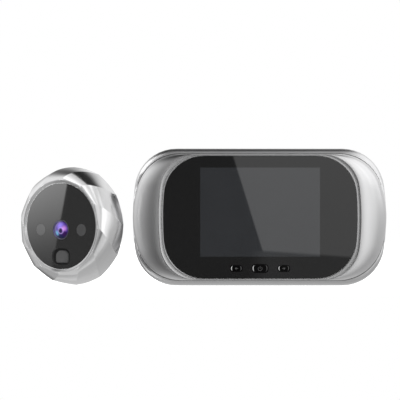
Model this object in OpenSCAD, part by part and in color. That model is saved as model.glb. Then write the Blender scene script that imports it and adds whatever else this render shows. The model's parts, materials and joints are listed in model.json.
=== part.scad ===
// Peephole door camera: an indoor monitor hung on its door bracket, and the outdoor camera unit.
// Sizes are in mm. +Z is up, the fronts face -Y, and y = 0 is the door face behind the bracket.

/* [Monitor body] */
// Overall width of the monitor
monitor_w = 122; // [121:0.5:130]
// Overall height of the monitor
monitor_h = 66; // [65.6:0.2:72]
// Corner radius seen from the front
monitor_corner_r = 20.3; // [18:0.1:22]
// Radius of the bowed left and right sides
monitor_side_r = 120; // [100:5:300]
// How far the rear shell stands past the front shell at top and bottom
shoulder = 2.6; // [1:0.1:3]
// Corner radius at the parting line
part_corner_r = 21.3; // [19:0.1:23]
// Side radius at the parting line
part_side_r = 48; // [46:1:110]
// Depth from the rear face to the parting line
rear_depth = 11.8; // [10.5:0.1:12.5]
// Rounding of the rear edge
rear_round = 6; // [4.5:0.5:7]
// Wall thickness of both shells
wall = 1.8; // [1.5:0.1:2]

/* [Window and trim] */
// From the side of the monitor to the window
window_side_edge = 14.7; // [13.5:0.1:17]
// From the top of the monitor to the window
window_top_edge = 3.7; // [3.4:0.1:4.2]
// Corner radius of the window
window_corner_r = 19.3; // [15:0.1:21]
// Side radius of the window
window_side_r = 150; // [100:5:300]
// Thickness of the window
window_t = 1.5; // [1.2:0.1:2]
// Width of the raised trim at the left and right
trim_side = 2.35; // [1.5:0.05:3]
// Width of the raised trim at the top and bottom
trim_top = 0.7; // [0.5:0.1:1]
// Corner radius of the trim
trim_corner_r = 17.4; // [15:0.1:20]
// Height of the trim past the window
trim_proud = 0.3; // [0.1:0.1:0.6]

/* [Display] */
// Window height that the picture leaves free
view_edge = 15.8; // [15.6:0.1:18]
// Width of the picture over its height
view_shape = 1.332; // [1.25:0.001:1.34]
// Height of the picture's centre over the middle of the monitor
display_rise = 2.4; // [2:0.1:2.6]
// Thickness of the liquid crystal panel
panel_t = 1.2; // [1:0.1:1.6]
// Thickness of the backlight
backlight_t = 2; // [1.6:0.1:2.6]

/* [Front buttons] */
// Distance between button centres
button_pitch = 11.35; // [10.8:0.05:12]
// Width of the side buttons
button_w = 5.6; // [5:0.1:6]
// Height of the side buttons
button_h = 2.9; // [2.4:0.1:3.2]
// Width of the power button
power_w = 7.6; // [6.8:0.1:8]
// Height of the power button
power_h = 3.9; // [3.4:0.1:4]
// Press travel of the front buttons
button_travel = 0.3; // [0.2:0.05:0.35]

/* [Batteries] */
// Diameter of a battery cell
cell_d = 10.5; // [10.3:0.1:10.7]
// Length of a battery cell over its nub
cell_l = 44.5; // [44:0.1:44.8]
// Room for a contact spring
spring_l = 4; // [3.6:0.1:4.4]
// Thickness of the battery door
door_t = 1.8; // [1.6:0.1:2]

/* [Bracket] */
// Sheet thickness of the bracket
bracket_t = 1.2; // [1:0.1:1.5]
// Width of the bracket
bracket_w = 60; // [58:1:64]
// Width of a hook
hook_w = 8; // [6:0.5:10]
// Height of a hook's lip
hook_lip = 3; // [2.4:0.1:3.2]
// Sideways distance of the hooks from the middle
hook_x = 24; // [22:0.5:25]
// Gap between the bracket and the monitor
hang_gap = 1; // [0.6:0.1:1.5]

/* [Outdoor camera] */
// Diameter over the facet corners
camera_d = 57.2; // [56:0.2:60]
// Number of facets
facets = 12; // [10:1:14]
// Turn of the facet edges from the front rim to the widest ring, in degrees
facet_twist = 26.5; // [10:0.5:32]
// Bow of the facet edges at the widest ring: 0 is straight between the corners, 1 is a circle
facet_bow = 0.55; // [0:0.05:0.8]
// Depth from the front rim to the widest ring
camera_front = 12.4; // [12:0.1:14]
// Depth from the widest ring to the back
camera_back = 6.5; // [6:0.1:8]
// Diameter of the round camera window
face_d = 41.4; // [40:0.1:42]
// Diameter over the corners at the back
base_d = 47.4; // [46.6:0.1:48]
// Diameter of the tube that goes through the door
tube_d = 14; // [13.6:0.1:14.6]
// Length of the tube past the seal
tube_l = 20; // [14:1:24]
// Spacing of the two clamp screws
clamp_pitch = 9.8; // [9.4:0.1:10]
// Press travel of the call button
bell_travel = 0.5; // [0.3:0.05:0.6]
// Sideways place of the camera unit
camera_x = -89; // [-110:0.5:-86]
// Depth of its widest ring
camera_y = -4; // [-20:0.5:10]
// Turn of the unit to the left, in degrees
camera_yaw = 34; // [0:1:45]

/* [Fits] */
// Clearance of sliding pieces, each side
slide_fit = 0.15; // [0.12:0.01:0.2]
// Clearance of fixed pieces, each side
seat_fit = 0.1; // [0.05:0.01:0.15]
// Clearance round the button caps
button_fit = 0.2; // [0.15:0.01:0.25]

/* [Hidden] */
$fn = 48;
tape_t = 0.2;
front_wall = 1.7;
window_rise = 1;
lcd_gap = 0.2;
bay_floor_t = 1;
bay_wall = 1.2;
cell_play = 0.9;
rear_wall = 2;
groove = 0.3;
trim_dish = 0.1;
board_t = 1.6;
window_w = monitor_w - 2 * window_side_edge;
window_h = monitor_h - 2 * window_top_edge;
view_h = window_h - view_edge;
view_w = view_h * view_shape;

// Depth stack, from the door face forwards
y_back = -(bracket_t + hang_gap);
y_floor_b = y_back - door_t - cell_play - cell_d;
y_floor_f = y_floor_b - bay_floor_t;
y_board_f = y_floor_f - lcd_gap;
y_board_b = y_board_f + board_t;
y_panel_b = y_board_f - backlight_t;
y_wall_b = y_panel_b - panel_t;
y_tape = y_wall_b - front_wall;
y_win_b = y_tape - tape_t;
y_win = y_win_b - window_t;
y_plateau = y_win + window_rise;
y_trim = y_win - trim_proud;
y_part = y_back - rear_depth;
y_round = y_back - rear_round - 0.5;

// Outlines: half width, half height, corner radius, side radius
o_max = [monitor_w / 2, monitor_h / 2, monitor_corner_r, monitor_side_r];
o_part = [monitor_w / 2, monitor_h / 2 - shoulder, part_corner_r, part_side_r];
o_rear = inset(o_max, rear_round);
o_win = [window_w / 2, window_h / 2, window_corner_r, window_side_r];
o_seat = inset(o_win, -slide_fit);
o_trim = [window_w / 2 + trim_side, window_h / 2 + trim_top, trim_corner_r, window_side_r - 29];

// Display module
lcd_w = view_w + 12;
lcd_h = view_h + 5.4;
open_w = view_w + 3;
open_h = view_h + 3;

// Front buttons: x, cap width, cap height
flange_t = 0.8;
switch_h = 1.5;
button_z = display_rise - lcd_h / 2 - power_h / 2 - 0.85;
buttons = [
    [-button_pitch, button_w, button_h],
    [0, power_w, power_h],
    [button_pitch, button_w, button_h]
];
y_flange = y_wall_b + seat_fit;
y_switch = y_board_f - switch_h;

// Battery bay
plate_t = 0.4;
cell_gap = 0.5;
bay_l = cell_l + spring_l + 2 * plate_t;
bay_x1 = monitor_w / 2 - 7.9;
bay_x0 = bay_x1 - bay_l;
bay_z = (3 * cell_d + 2 * cell_gap) / 2 + 0.3;
cell_y = y_floor_b + 0.3 + cell_d / 2;
door_x0 = bay_x0 - 0.7;
door_z = bay_z + 0.5;
tongue_z = door_z + 0.8;
tongue_t = 0.8;
door_travel = monitor_w / 2 - door_x0;

// Bracket and hooks
hang_fit = 0.1;
lift = hook_lip + 0.6;
slot_h = bracket_t + lift + 0.4;
slot_w = hook_w + 1;
slot_top = tongue_z + slide_fit + 0.5 + slot_h;
slot_low = -(bay_z + bay_wall + 0.5 + hook_lip);
hook_tops = [slot_top, slot_low];
y_lip = y_back - rear_wall - 0.4;
bracket_top = slot_top + 2.9;
bracket_low = slot_low - 8.2;
pocket_w = 22;
pocket_h = 20;
pocket_d = 8.6;
pipe_x = bay_x0 - 2 * bay_wall - pocket_w / 2 - 2.4;
ribbon_w = 4.8;
ribbon_h = 14;

// Main board: its left edge, its half height, and its screws beside the shell screws
board_edge_x = 13;
board_edge_z = 9.2;
board_screw_x = 6;
board_screw_gap = 5.4;
board_notch = 0.4;
board_x0 = -monitor_w / 2 + board_edge_x;
board_x1 = bay_x0 - bay_wall - 1.6;
board_z = monitor_h / 2 - shoulder - board_edge_z;
tab_x0 = -button_pitch - 16.65;
tab_x1 = button_pitch + 10.2;
tab_low = 2.1;

// Screws and bosses of the monitor
shell_edge_x = 16.5;
shell_x = monitor_w / 2 - shell_edge_x;
shell_z = tongue_z + slide_fit + 3.4;
shell_screws_at = [[shell_x, shell_z], [-shell_x, shell_z], [-shell_x, -shell_z], [shell_x, -shell_z]];
boss_r = 3;
board_screws_at = [
    [board_x0 + board_screw_x, shell_z - board_screw_gap],
    [board_x0 + board_screw_x, -shell_z + board_screw_gap],
    [tab_x0 + 4, button_z],
    [tab_x1 - 3, button_z]
];
board_boss_r = 2.2;
speaker_x = (pipe_x - pocket_w / 2 - bay_wall - monitor_w / 2) / 2 + 0.6;
speaker_r = 9;
speaker_h = 4.2;

// Outdoor unit: depths along its own axis, from the widest ring
face_r = face_d / 2;
rim_r = (face_r + 1.35) / cos(180 / facets);
rim_bow = 0.25;
// Where the flank starts along its quarter turn, and how square the turn is
flank_from = 20;
flank_power = 0.75;
bezel_r = face_r + 0.9;
c_win_f = -camera_front + 0.5;
c_win_t = 1.4;
c_win_b = c_win_f + c_win_t;
c_seat = c_win_b + tape_t;
c_wall = c_seat + 2;
c_step = -3;
c_board_t = 1.2;
c_open_r = face_r - 1.5;
c_cav_r = face_r - 0.3;
c_back_r = base_d / 2 * cos(180 / facets) - 1.2;
c_plate_t = 2;
c_plate_f = camera_back - c_plate_t;
c_boss_r = 2.6;
c_boss_room = 0.3;
c_boss_edge = 1.25;
c_boss_ring = c_back_r - slide_fit - c_boss_r - c_boss_room - c_boss_edge;
c_boss_at = [90, 210, 330];
c_post_ring = c_back_r - 2.6;
c_post_at = [30, 150, 270];
seal_t = 1.5;
tube_end = camera_back + seal_t + tube_l;
lens_z = -1.75;
lens_r = 4.65;
glass_r = 4.2;
led_x = 12.2;
led_r = 2.5;
bell_z = -14.7;
bell_w = 7.2;
bell_h = 5.9;
bell_hole_w = 11;
bell_hole_h = 8;
bell_sink = 0.6;
camera_z = -monitor_h / 2 + camera_d / 2;

function inset(s, t) = s - [t, t, t, t];
function blend(a, b, t) = a + (b - a) * t;
function arc(c, r, a0, a1, n) =
    [for (i = [0:n]) let (a = a0 + (a1 - a0) * i / n) c + r * [cos(a), sin(a)]];

// One quarter of an outline: half of the bowed side, then the corner
function corner_at(s) = [s[0] - s[3] + sqrt(pow(s[3] - s[2], 2) - pow(s[1] - s[2], 2)), s[1] - s[2]];
function quarter(s) =
    let (c = corner_at(s), e = s[0] - s[3], phi = atan2(c[1], c[0] - e), k = arc(c, s[2], phi, 90, 10))
    concat(arc([e, 0], s[3], 0, phi, 3), [for (i = [1:10]) k[i]]);
function outline(s) =
    let (q = quarter(s), n = len(q))
    concat(
        q,
        [for (i = [n - 1:-1:0]) [-q[i][0], q[i][1]]],
        [for (i = [1:n - 1]) [-q[i][0], -q[i][1]]],
        [for (i = [n - 1:-1:1]) [q[i][0], -q[i][1]]]
    );

// Skin through rings of points with equal counts; a closed skin joins its last ring to its first
module skin(rings, closed = false) {
    n = len(rings[0]);
    m = len(rings);
    bands = closed ? m - 1 : m - 2;
    sides = [
        for (i = [0:bands], j = [0:n - 1])
        let (a = i * n, b = ((i + 1) % m) * n, k = (j + 1) % n)
        each [[a + k, b + k, b + j], [a + k, b + j, a + j]]
    ];
    caps = closed ? [] : [[for (j = [n - 1:-1:0]) j], [for (j = [0:n - 1]) (m - 1) * n + j]];
    polyhedron([for (r = rings) each r], concat(sides, caps));
}

// Skin through outlines at given depths
module loft(secs, closed = false) {
    skin([for (s = secs) [for (p = outline(s[1])) [p[0], s[0], p[1]]]], closed);
}

// Plate with an outline, between two depths
module slab(s, y0, y1) {
    translate([0, y1, 0])
        rotate([90, 0, 0])
        linear_extrude(y1 - y0)
        polygon(outline(s));
}

// Box given by its limits
module block(x0, x1, y0, y1, z0, z1) {
    translate([x0, y0, z0])
        cube([x1 - x0, y1 - y0, z1 - z0]);
}

// Round bar along the depth
module rod(x, z, r, y0, y1) {
    translate([x, y1, z])
        rotate([90, 0, 0])
        cylinder(r = r, h = y1 - y0);
}

module round_rect(w, h, r) {
    square([w - 2 * r, h], center = true);
    square([w, h - 2 * r], center = true);
    for (i = [-1, 1])
        for (j = [-1, 1])
            translate([i * (w / 2 - r), j * (h / 2 - r)])
                circle(r);
}

// Bar with a rounded rectangular section along the depth
module pad(x, z, w, h, r, y0, y1) {
    translate([x, y1, z])
        rotate([90, 0, 0])
        linear_extrude(y1 - y0)
        round_rect(w, h, r);
}

// Turned shape on the depth axis: the profile's points are radius and depth
module turned(profile) {
    rotate([90, 0, 0])
        mirror([0, 0, 1])
        rotate_extrude()
        polygon(profile);
}

// Outer skin of the front shell, a convex flank from the trim to the parting line
front_skin = concat(
    [for (i = [0:7]) let (u = i * 90 / 7)
        [blend(y_plateau, y_part - groove, 1 - cos(u)), blend(o_trim, o_part, sin(u))]],
    [[y_part, inset(o_part, groove)], [y_part, inset(o_part, wall)]],
    [for (i = [4:-1:0]) let (u = i * 18)
        [blend(y_wall_b, y_part, 1 - cos(u)), blend(inset(o_trim, wall), inset(o_part, wall), sin(u))]]
);

// Rear shell skin: floor, inner wall, lip, parting edge, shoulder and rounded rear edge
rear_edge = [for (i = [5:-1:0]) let (u = i * 18)
    [blend(y_back, y_round, 1 - cos(u)), blend(o_rear, o_max, sin(u))]];
rear_outer = concat(
    [[y_part, inset(o_part, groove)]],
    [for (i = [0:4]) let (u = i * 22.5)
        [blend(y_part + groove, y_part + 3.2, 1 - cos(u)), blend(o_part, o_max, sin(u))]],
    rear_edge
);
rear_skin = concat(
    [for (i = [0:4]) let (u = i * 22.5)
        [blend(y_back - rear_wall, y_round, 1 - cos(u)), inset(blend(o_rear, o_max, sin(u)), wall)]],
    [[y_part + 2, inset(o_part, wall + 1.2)]],
    [[y_part - 1.1, inset(o_part, wall + 1.2)], [y_part - 1.1, inset(o_part, wall + 0.5)]],
    [[y_part, inset(o_part, wall + 0.5)]],
    rear_outer
);

// The trim is a shallow cove between two fine edges
trim_skin = let (i = o_seat)
    [
        [y_trim, blend(o_trim, i, 0.07)], [y_trim + 0.12, blend(o_trim, i, 0.01)], [y_trim + 0.3, o_trim],
        [y_plateau, o_trim], [y_plateau, i], [y_trim + 0.3, i],
        [y_trim + 0.08, blend(o_trim, i, 0.95)], [y_trim + trim_dish, blend(o_trim, i, 0.72)],
        [y_trim + 0.7 * trim_dish, blend(o_trim, i, 0.4)]
    ];

module button_hole(b, y0, y1) {
    pad(b[0], button_z, b[1] + 2 * button_fit, b[2] + 2 * button_fit, b[2] * 0.42 + button_fit, y0, y1);
}

module front_shell() {
    color("silver")
    difference() {
        union() {
            difference() {
                loft(front_skin);
                slab(o_seat, y_plateau - 1, y_tape);
                block(-open_w / 2, open_w / 2, y_tape - 1, y_wall_b + 1,
                    display_rise - open_h / 2, display_rise + open_h / 2);
                for (b = buttons)
                    button_hole(b, y_tape - 1, y_wall_b + 1);
            }
            // Bosses for the board and for the shell screws
            for (p = board_screws_at)
                rod(p[0], p[1], board_boss_r, y_wall_b - 0.4, y_board_f);
            for (p = shell_screws_at)
                rod(p[0], p[1], boss_r, y_plateau + 1.2, y_part + 1.5);
            // Guide ribs at the left and right of the display
            for (x = [-lcd_w / 2 - 0.6, lcd_w / 2 + 0.6])
                block(x - 0.4, x + 0.4, y_wall_b - 0.4, y_panel_b, -12, 16);
        }
        for (p = board_screws_at)
            rod(p[0], p[1], 1.05, y_wall_b + 0.3, y_board_f + 1);
        for (p = shell_screws_at)
            rod(p[0], p[1], 1.25, y_wall_b + 0.6, y_part + 2);
    }
}

module window_trim() {
    color("silver")
        loft(trim_skin, true);
}

module display_window() {
    color([0.06, 0.06, 0.07])
    difference() {
        slab(o_win, y_win, y_win_b);
        for (b = buttons)
            button_hole(b, y_win - 1, y_win_b + 1);
    }
}

module window_tape() {
    color("black")
    difference() {
        slab(inset(o_win, 0.8), y_win_b, y_tape);
        block(-open_w / 2, open_w / 2, y_win_b - 1, y_tape + 1,
            display_rise - open_h / 2, display_rise + open_h / 2);
        block(-button_pitch - button_w, button_pitch + button_w, y_win_b - 1, y_tape + 1,
            button_z - power_h / 2 - 0.4, button_z + power_h / 2 + 0.4);
    }
}

module lcd_gasket() {
    color([0.15, 0.15, 0.15])
    difference() {
        block(-open_w / 2 + seat_fit, open_w / 2 - seat_fit, y_win_b, y_wall_b,
            display_rise - open_h / 2 + seat_fit, display_rise + open_h / 2 - seat_fit);
        block(-view_w / 2 - 0.4, view_w / 2 + 0.4, y_win_b - 1, y_wall_b + 1,
            display_rise - view_h / 2 - 0.4, display_rise + view_h / 2 + 0.4);
    }
}

module lcd_panel() {
    color([0.2, 0.22, 0.24])
        block(-lcd_w / 2, lcd_w / 2, y_wall_b, y_panel_b, display_rise - lcd_h / 2, display_rise + lcd_h / 2);
}

module lcd_backlight() {
    color("white")
        block(-lcd_w / 2 + 0.3, lcd_w / 2 - 0.3, y_panel_b, y_board_f,
            display_rise - lcd_h / 2 + 0.3, display_rise + lcd_h / 2 - 0.3);
}

module main_board() {
    color("darkgreen")
    difference() {
        union() {
            block(board_x0, board_x1, y_board_f, y_board_b, -board_z, board_z);
            block(tab_x0, tab_x1, y_board_f, y_board_b, button_z - tab_low, -board_z + 0.5);
        }
        for (p = board_screws_at)
            rod(p[0], p[1], 1.3, y_board_f - 1, y_board_b + 1);
        // Notches for the bosses of the shell screws
        for (p = shell_screws_at)
            rod(p[0], p[1], boss_r + board_notch, y_board_f - 1, y_board_b + 1);
    }
}

// Square package on the back of the board
module chip(x, z, w, t) {
    block(x - w / 2, x + w / 2, y_board_b, y_board_b + t, z - w / 2, z + w / 2);
}

module board_chips() {
    color([0.12, 0.12, 0.13]) {
        chip(board_x0 + 24, board_z - 7.5, 12, 1.2);
        chip(board_x0 + 13.5, -board_z + 6, 7, 1);
        chip(board_x0 + 25.2, -board_z + 5, 6.5, 1.4);
    }
}

module button_switches() {
    color("dimgray")
    for (b = buttons)
        difference() {
            block(b[0] - 2.1, b[0] + 2.1, y_switch, y_board_f, button_z - 2, button_z + 2);
            rod(b[0], button_z, 1.25, y_switch - 1, y_switch + 0.9 + button_travel);
        }
}

module button_cap(b) {
    color([0.09, 0.09, 0.1])
    union() {
        pad(b[0], button_z, b[1], b[2], b[2] * 0.42, y_win - 0.15, y_flange + flange_t);
        pad(b[0], button_z, b[1] + 1.6, b[2] + 0.6, b[2] * 0.42, y_flange, y_flange + flange_t);
    }
}

module plunger(b) {
    color("black")
        rod(b[0], button_z, 1.1, y_flange + flange_t, y_switch + 0.75);
}

module left_button_cap() {
    button_cap(buttons[0]);
}

module power_button_cap() {
    button_cap(buttons[1]);
}

module right_button_cap() {
    button_cap(buttons[2]);
}

module left_plunger() {
    plunger(buttons[0]);
}

module power_plunger() {
    plunger(buttons[1]);
}

module right_plunger() {
    plunger(buttons[2]);
}

module ribbon_socket() {
    color("ivory")
    difference() {
        block(pipe_x - 6, pipe_x + 6, y_board_b, y_board_b + 2.6, -2.5, 2.5);
        block(pipe_x - 4.8, pipe_x + 4.8, y_board_b + 1, y_board_b + 3, -0.6, 0.6);
    }
}

module speaker_frame() {
    color("gray")
    translate([speaker_x, y_back - rear_wall, 0])
        turned([[0, -speaker_h], [5, -speaker_h], [5, -2.2], [speaker_r, -1.4], [speaker_r, 0],
            [speaker_r - 1, 0], [speaker_r - 1, -1], [4.4, -1.9], [0, -1.9]]);
}

module speaker_cone() {
    color([0.2, 0.2, 0.2])
    translate([speaker_x, y_back - rear_wall, 0])
        turned([[0, -1.1], [2.6, -1.5], [4.2, -1.9], [speaker_r - 1, -1], [speaker_r - 1, -0.6],
            [6.6, -0.35], [4.4, -1.3], [2.6, -0.8], [0, -0.5]]);
}

// The room that the battery door slides in, with a clearance all round
module door_room(c, x0, x1) {
    block(x0, x1, y_back - door_t - c, y_back + 1, -door_z - c, door_z + c);
    block(x0, x1, y_back - door_t - c, y_back - door_t + tongue_t + c, -tongue_z - c, tongue_z + c);
}

module rear_shell() {
    color("silver")
    difference() {
        union() {
            loft(rear_skin);
            // Battery cradle, and the sill under the open end of the door track
            block(bay_x0 - bay_wall, bay_x1 + bay_wall, y_floor_f, y_back - 1,
                -bay_z - bay_wall, bay_z + bay_wall);
            block(bay_x1, bay_x1 + 3.6, y_back - 7, y_back - door_t - slide_fit,
                -bay_z - bay_wall, bay_z + bay_wall);
            // Ribbon pocket
            block(pipe_x - pocket_w / 2 - bay_wall, pipe_x + pocket_w / 2 + bay_wall,
                y_back - pocket_d - bay_wall, y_back - 1, -pocket_h / 2 - bay_wall, pocket_h / 2 + bay_wall);
            // Speaker ring
            rod(speaker_x, 0, speaker_r + 1.1, y_back - rear_wall - 3, y_back - 1);
            for (p = shell_screws_at)
                rod(p[0], p[1], boss_r, y_part + 1.7, y_back - 1);
        }
        // Bay with ribs between the cells
        difference() {
            block(bay_x0, bay_x1, y_floor_b, y_back + 1, -bay_z, bay_z);
            for (i = [-1, 1])
                block(bay_x0 - 1, bay_x1 + 1, y_floor_b - 1, y_floor_b + 2.2,
                    i * (cell_d + cell_gap) / 2 - 0.4, i * (cell_d + cell_gap) / 2 + 0.4);
        }
        door_room(slide_fit, door_x0 - slide_fit, monitor_w);
        block(pipe_x - pocket_w / 2, pipe_x + pocket_w / 2, y_back - pocket_d, y_back + 1,
            -pocket_h / 2, pocket_h / 2);
        block(pipe_x - 7, pipe_x + 7, y_back - pocket_d - 3, y_back, -3, 3);
        for (x = [-hook_x, hook_x])
            for (z = hook_tops)
                block(x - slot_w / 2, x + slot_w / 2, y_back - rear_wall - 1, y_back + 1, z - slot_h, z);
        rod(speaker_x, 0, speaker_r + seat_fit, y_back - rear_wall - 4, y_back - rear_wall);
        for (i = [0:2])
            for (a = [0:60 / max(i, 1):i == 0 ? 0 : 359])
                rod(speaker_x + 2.7 * i * cos(a), 2.7 * i * sin(a), 0.75, y_back - 3, y_back + 1);
        for (p = shell_screws_at) {
            rod(p[0], p[1], 1.4, y_part, y_back + 1);
            rod(p[0], p[1], 2.6, y_back - 2.6, y_back + 1);
        }
    }
}

module battery_door() {
    color("silver")
    difference() {
        intersection() {
            loft(concat([[y_round - 2, o_max]], rear_edge));
            door_room(0, door_x0, monitor_w);
        }
        // Thumb grooves
        for (i = [0:4])
            block(bay_x1 - 9 + 2 * i, bay_x1 - 8.1 + 2 * i, y_back - 0.5, y_back + 1, -7, 7);
    }
}

// Cells lie along x; the middle one is turned round
module battery_cells() {
    color("darkgoldenrod")
    for (i = [-1:1])
        translate([(bay_x0 + bay_x1) / 2, cell_y, i * (cell_d + cell_gap)])
            rotate([0, i == 0 ? -90 : 90, 0])
            translate([0, 0, -bay_l / 2 + plate_t + spring_l])
            union() {
                cylinder(d = cell_d - 0.2, h = cell_l - 0.8);
                cylinder(r = 1.9, h = cell_l - 0.05);
            }
}

module battery_plates() {
    color("lightgray")
    for (i = [-1:1])
        for (x = [bay_x0, bay_x1 - plate_t])
            block(x, x + plate_t, cell_y - 4, cell_y + 4,
                i * (cell_d + cell_gap) - 4, i * (cell_d + cell_gap) + 4);
}

// Conical coil: wire centre points, and the least gap between turns
coil_wire = 0.6;
coil_turns = 3;
coil_step = 24;
function coil_at(t) =
    let (r = 3.3 - 1.1 * t, a = 360 * coil_turns * t)
    [r * cos(a), r * sin(a), coil_wire / 2 + 0.02 + (spring_l - coil_wire - 0.04) * t];
coil_path = [for (i = [0:coil_turns * 360 / coil_step]) coil_at(i * coil_step / 360 / coil_turns)];
coil_gap = min([for (i = [0:len(coil_path) - 1], j = [0:len(coil_path) - 1])
    if (j - i > 270 / coil_step) norm(coil_path[j] - coil_path[i])]) - coil_wire;
echo(coil_gap = coil_gap);

module coil() {
    skin([
        for (i = [len(coil_path) - 1:-1:0])
        let (a = i * coil_step, p = coil_path[i])
        [for (k = [0:5]) p + coil_wire / 2 * (cos(60 * k) * [cos(a), sin(a), 0] + sin(60 * k) * [0, 0, 1])]
    ]);
}

module battery_springs() {
    color("silver")
    for (i = [-1:1])
        translate([(bay_x0 + bay_x1) / 2, cell_y, i * (cell_d + cell_gap)])
            rotate([0, i == 0 ? -90 : 90, 0])
            translate([0, 0, -bay_l / 2 + plate_t])
            coil();
}

module screw(x, z, head_r, head_h, shank_r, y0, y1) {
    translate([x, 0, z])
        turned([[0, y0], [shank_r, y0], [shank_r, y1 - head_h], [head_r, y1 - head_h], [head_r, y1 - 0.3],
            [head_r - 0.4, y1], [0.9, y1], [0.5, y1 - head_h * 0.6], [0, y1 - head_h * 0.6]]);
}

module shell_screws() {
    color("gray")
    for (p = shell_screws_at)
        screw(p[0], p[1], 2.3, 1.6, 1.2, y_wall_b + 2, y_back - 1);
}

module board_screws() {
    color("gray")
    for (p = board_screws_at)
        screw(p[0], p[1], 1.9, 1.2, 1, y_wall_b + 0.6, y_board_b + 1.2);
}

module mounting_bracket() {
    color("lightsteelblue")
    difference() {
        union() {
            pad(0, (bracket_top + bracket_low) / 2, bracket_w, bracket_top - bracket_low, 4, -bracket_t, 0);
            for (x = [-hook_x, hook_x])
                for (z = hook_tops) {
                    block(x - hook_w / 2, x + hook_w / 2, y_lip - bracket_t, -bracket_t / 2,
                        z - hang_fit - bracket_t, z - hang_fit);
                    block(x - hook_w / 2, x + hook_w / 2, y_lip - bracket_t, y_lip,
                        z - hang_fit - bracket_t, z - hang_fit + hook_lip);
                }
        }
        // Openings that the hooks were bent out of
        for (x = [-hook_x, hook_x])
            for (z = hook_tops)
                block(x - hook_w / 2 - 0.6, x + hook_w / 2 + 0.6, -bracket_t - 0.01, 1,
                    z - hang_fit - bracket_t - 5, z - hang_fit - bracket_t);
        pad(pipe_x, 0, ribbon_w, ribbon_h, 1.2, -bracket_t - 1, 1);
        for (i = [-1, 1])
            rod(pipe_x + i * clamp_pitch / 2, 0, 1.7, -bracket_t - 1, 1);
    }
}

// The outdoor unit stands beside the monitor, turned to the left
module outdoors() {
    translate([camera_x, camera_y, camera_z])
        rotate([0, 0, -camera_yaw])
        children();
}

// Ring of the gem-cut body: softly bowed facet edges between turned corners
function gem_ring(r, y, turn, bow) = [
    for (i = [0:facets - 1], j = [0:3])
    let (a = i * 360 / facets + turn, b = a + 360 / facets, m = blend(a, b, j / 4))
    let (straight = blend([cos(a), sin(a)], [cos(b), sin(b)], j / 4))
    let (p = r * blend(straight, [cos(m), sin(m)], bow))
    [p[0], y, p[1]]
];
gem_skin = concat(
    [for (i = [0:8]) let (t = i / 8, u = blend(flank_from, 90, t))
        let (narrow = (1 - pow(sin(u), flank_power)) / (1 - pow(sin(flank_from), flank_power)))
        gem_ring(blend(camera_d / 2, rim_r, narrow), -camera_front * pow(cos(u) / cos(flank_from), flank_power),
            1.5 + facet_twist * (1 - t), blend(rim_bow, facet_bow, t))],
    [for (i = [1:3])
        gem_ring(blend(camera_d / 2, base_d / 2, i / 3), camera_back * i / 3, 1.5, facet_bow)]
);

module camera_housing() {
    color("silver")
    outdoors()
    difference() {
        union() {
            difference() {
                skin(gem_skin);
                rod(0, 0, bezel_r + seat_fit, c_win_f - 3, c_win_f);
                rod(0, 0, face_r + slide_fit, c_win_f - 1, c_seat);
                rod(0, 0, c_open_r, c_seat - 1, c_wall + 1);
                rod(0, 0, c_cav_r, c_wall, c_step + 1);
                rod(0, 0, c_back_r, c_step, camera_back + 1);
            }
            for (a = c_boss_at) {
                rod(c_boss_ring * cos(a), c_boss_ring * sin(a), c_boss_r, c_wall - 0.5, c_plate_f);
                // Web that ties the boss to the wall, short of the board
                rotate([0, -a, 0])
                    block(c_boss_ring, c_cav_r + 0.6, c_wall - 0.5, c_step - c_boss_room, -0.9, 0.9);
            }
        }
        for (a = c_boss_at)
            rod(c_boss_ring * cos(a), c_boss_ring * sin(a), 1.05, c_wall + 1, camera_back);
    }
}

// Bright bezel that slopes down to the window
module camera_trim_ring() {
    color("silver")
    outdoors()
        turned([[face_r + 0.2, c_win_f], [bezel_r, c_win_f], [bezel_r, -camera_front],
            [face_r + 1.5, -camera_front], [face_r + 1.55, -camera_front - 0.2],
            [face_r + 1.45, -camera_front - 0.4], [face_r + 1.25, -camera_front - 0.45],
            [face_r + 0.2, c_win_f - 0.12]]);
}

module camera_window() {
    color([0.06, 0.06, 0.07])
    outdoors()
    difference() {
        rod(0, 0, face_r, c_win_f, c_win_b);
        rod(0, lens_z, lens_r + slide_fit, c_win_f - 1, c_win_b + 1);
        for (i = [-1, 1])
            rod(i * led_x, lens_z, led_r + 0.25 + seat_fit, c_win_f - 1, c_win_b + 1);
        pad(0, bell_z, bell_hole_w, bell_hole_h, 3.4, c_win_f - 1, c_win_b + 1);
    }
}

module camera_window_tape() {
    color("black")
    outdoors()
    difference() {
        rod(0, 0, face_r - 0.2, c_win_b, c_seat);
        rod(0, 0, c_open_r, c_win_b - 1, c_seat + 1);
    }
}

module ir_lens_covers() {
    color([0.25, 0.1, 0.1])
    outdoors()
    for (i = [-1, 1])
        rod(i * led_x, lens_z, led_r + 0.25, c_win_f, c_win_b);
}

module ir_leds() {
    color([0.3, 0.2, 0.3])
    outdoors()
    for (i = [-1, 1])
        translate([i * led_x, 0, lens_z])
            turned(concat(
                [[0, c_step], [led_r + 0.3, c_step], [led_r + 0.3, c_step - 1], [led_r, c_step - 1]],
                [for (k = [0:6]) [led_r * cos(15 * k), c_win_b + seat_fit + led_r - led_r * sin(15 * k)]]
            ));
}

module lens_holder() {
    color([0.1, 0.1, 0.1])
    outdoors()
    difference() {
        block(-5.5, 5.5, c_step - 4, c_step, lens_z - 5.5, lens_z + 5.5);
        rod(0, lens_z, 3.7, c_step - 5, c_step + 1);
    }
}

module image_sensor() {
    color([0.2, 0.25, 0.3])
    outdoors()
        block(-2.5, 2.5, c_step - 0.8, c_step, lens_z - 2.5, lens_z + 2.5);
}

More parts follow.
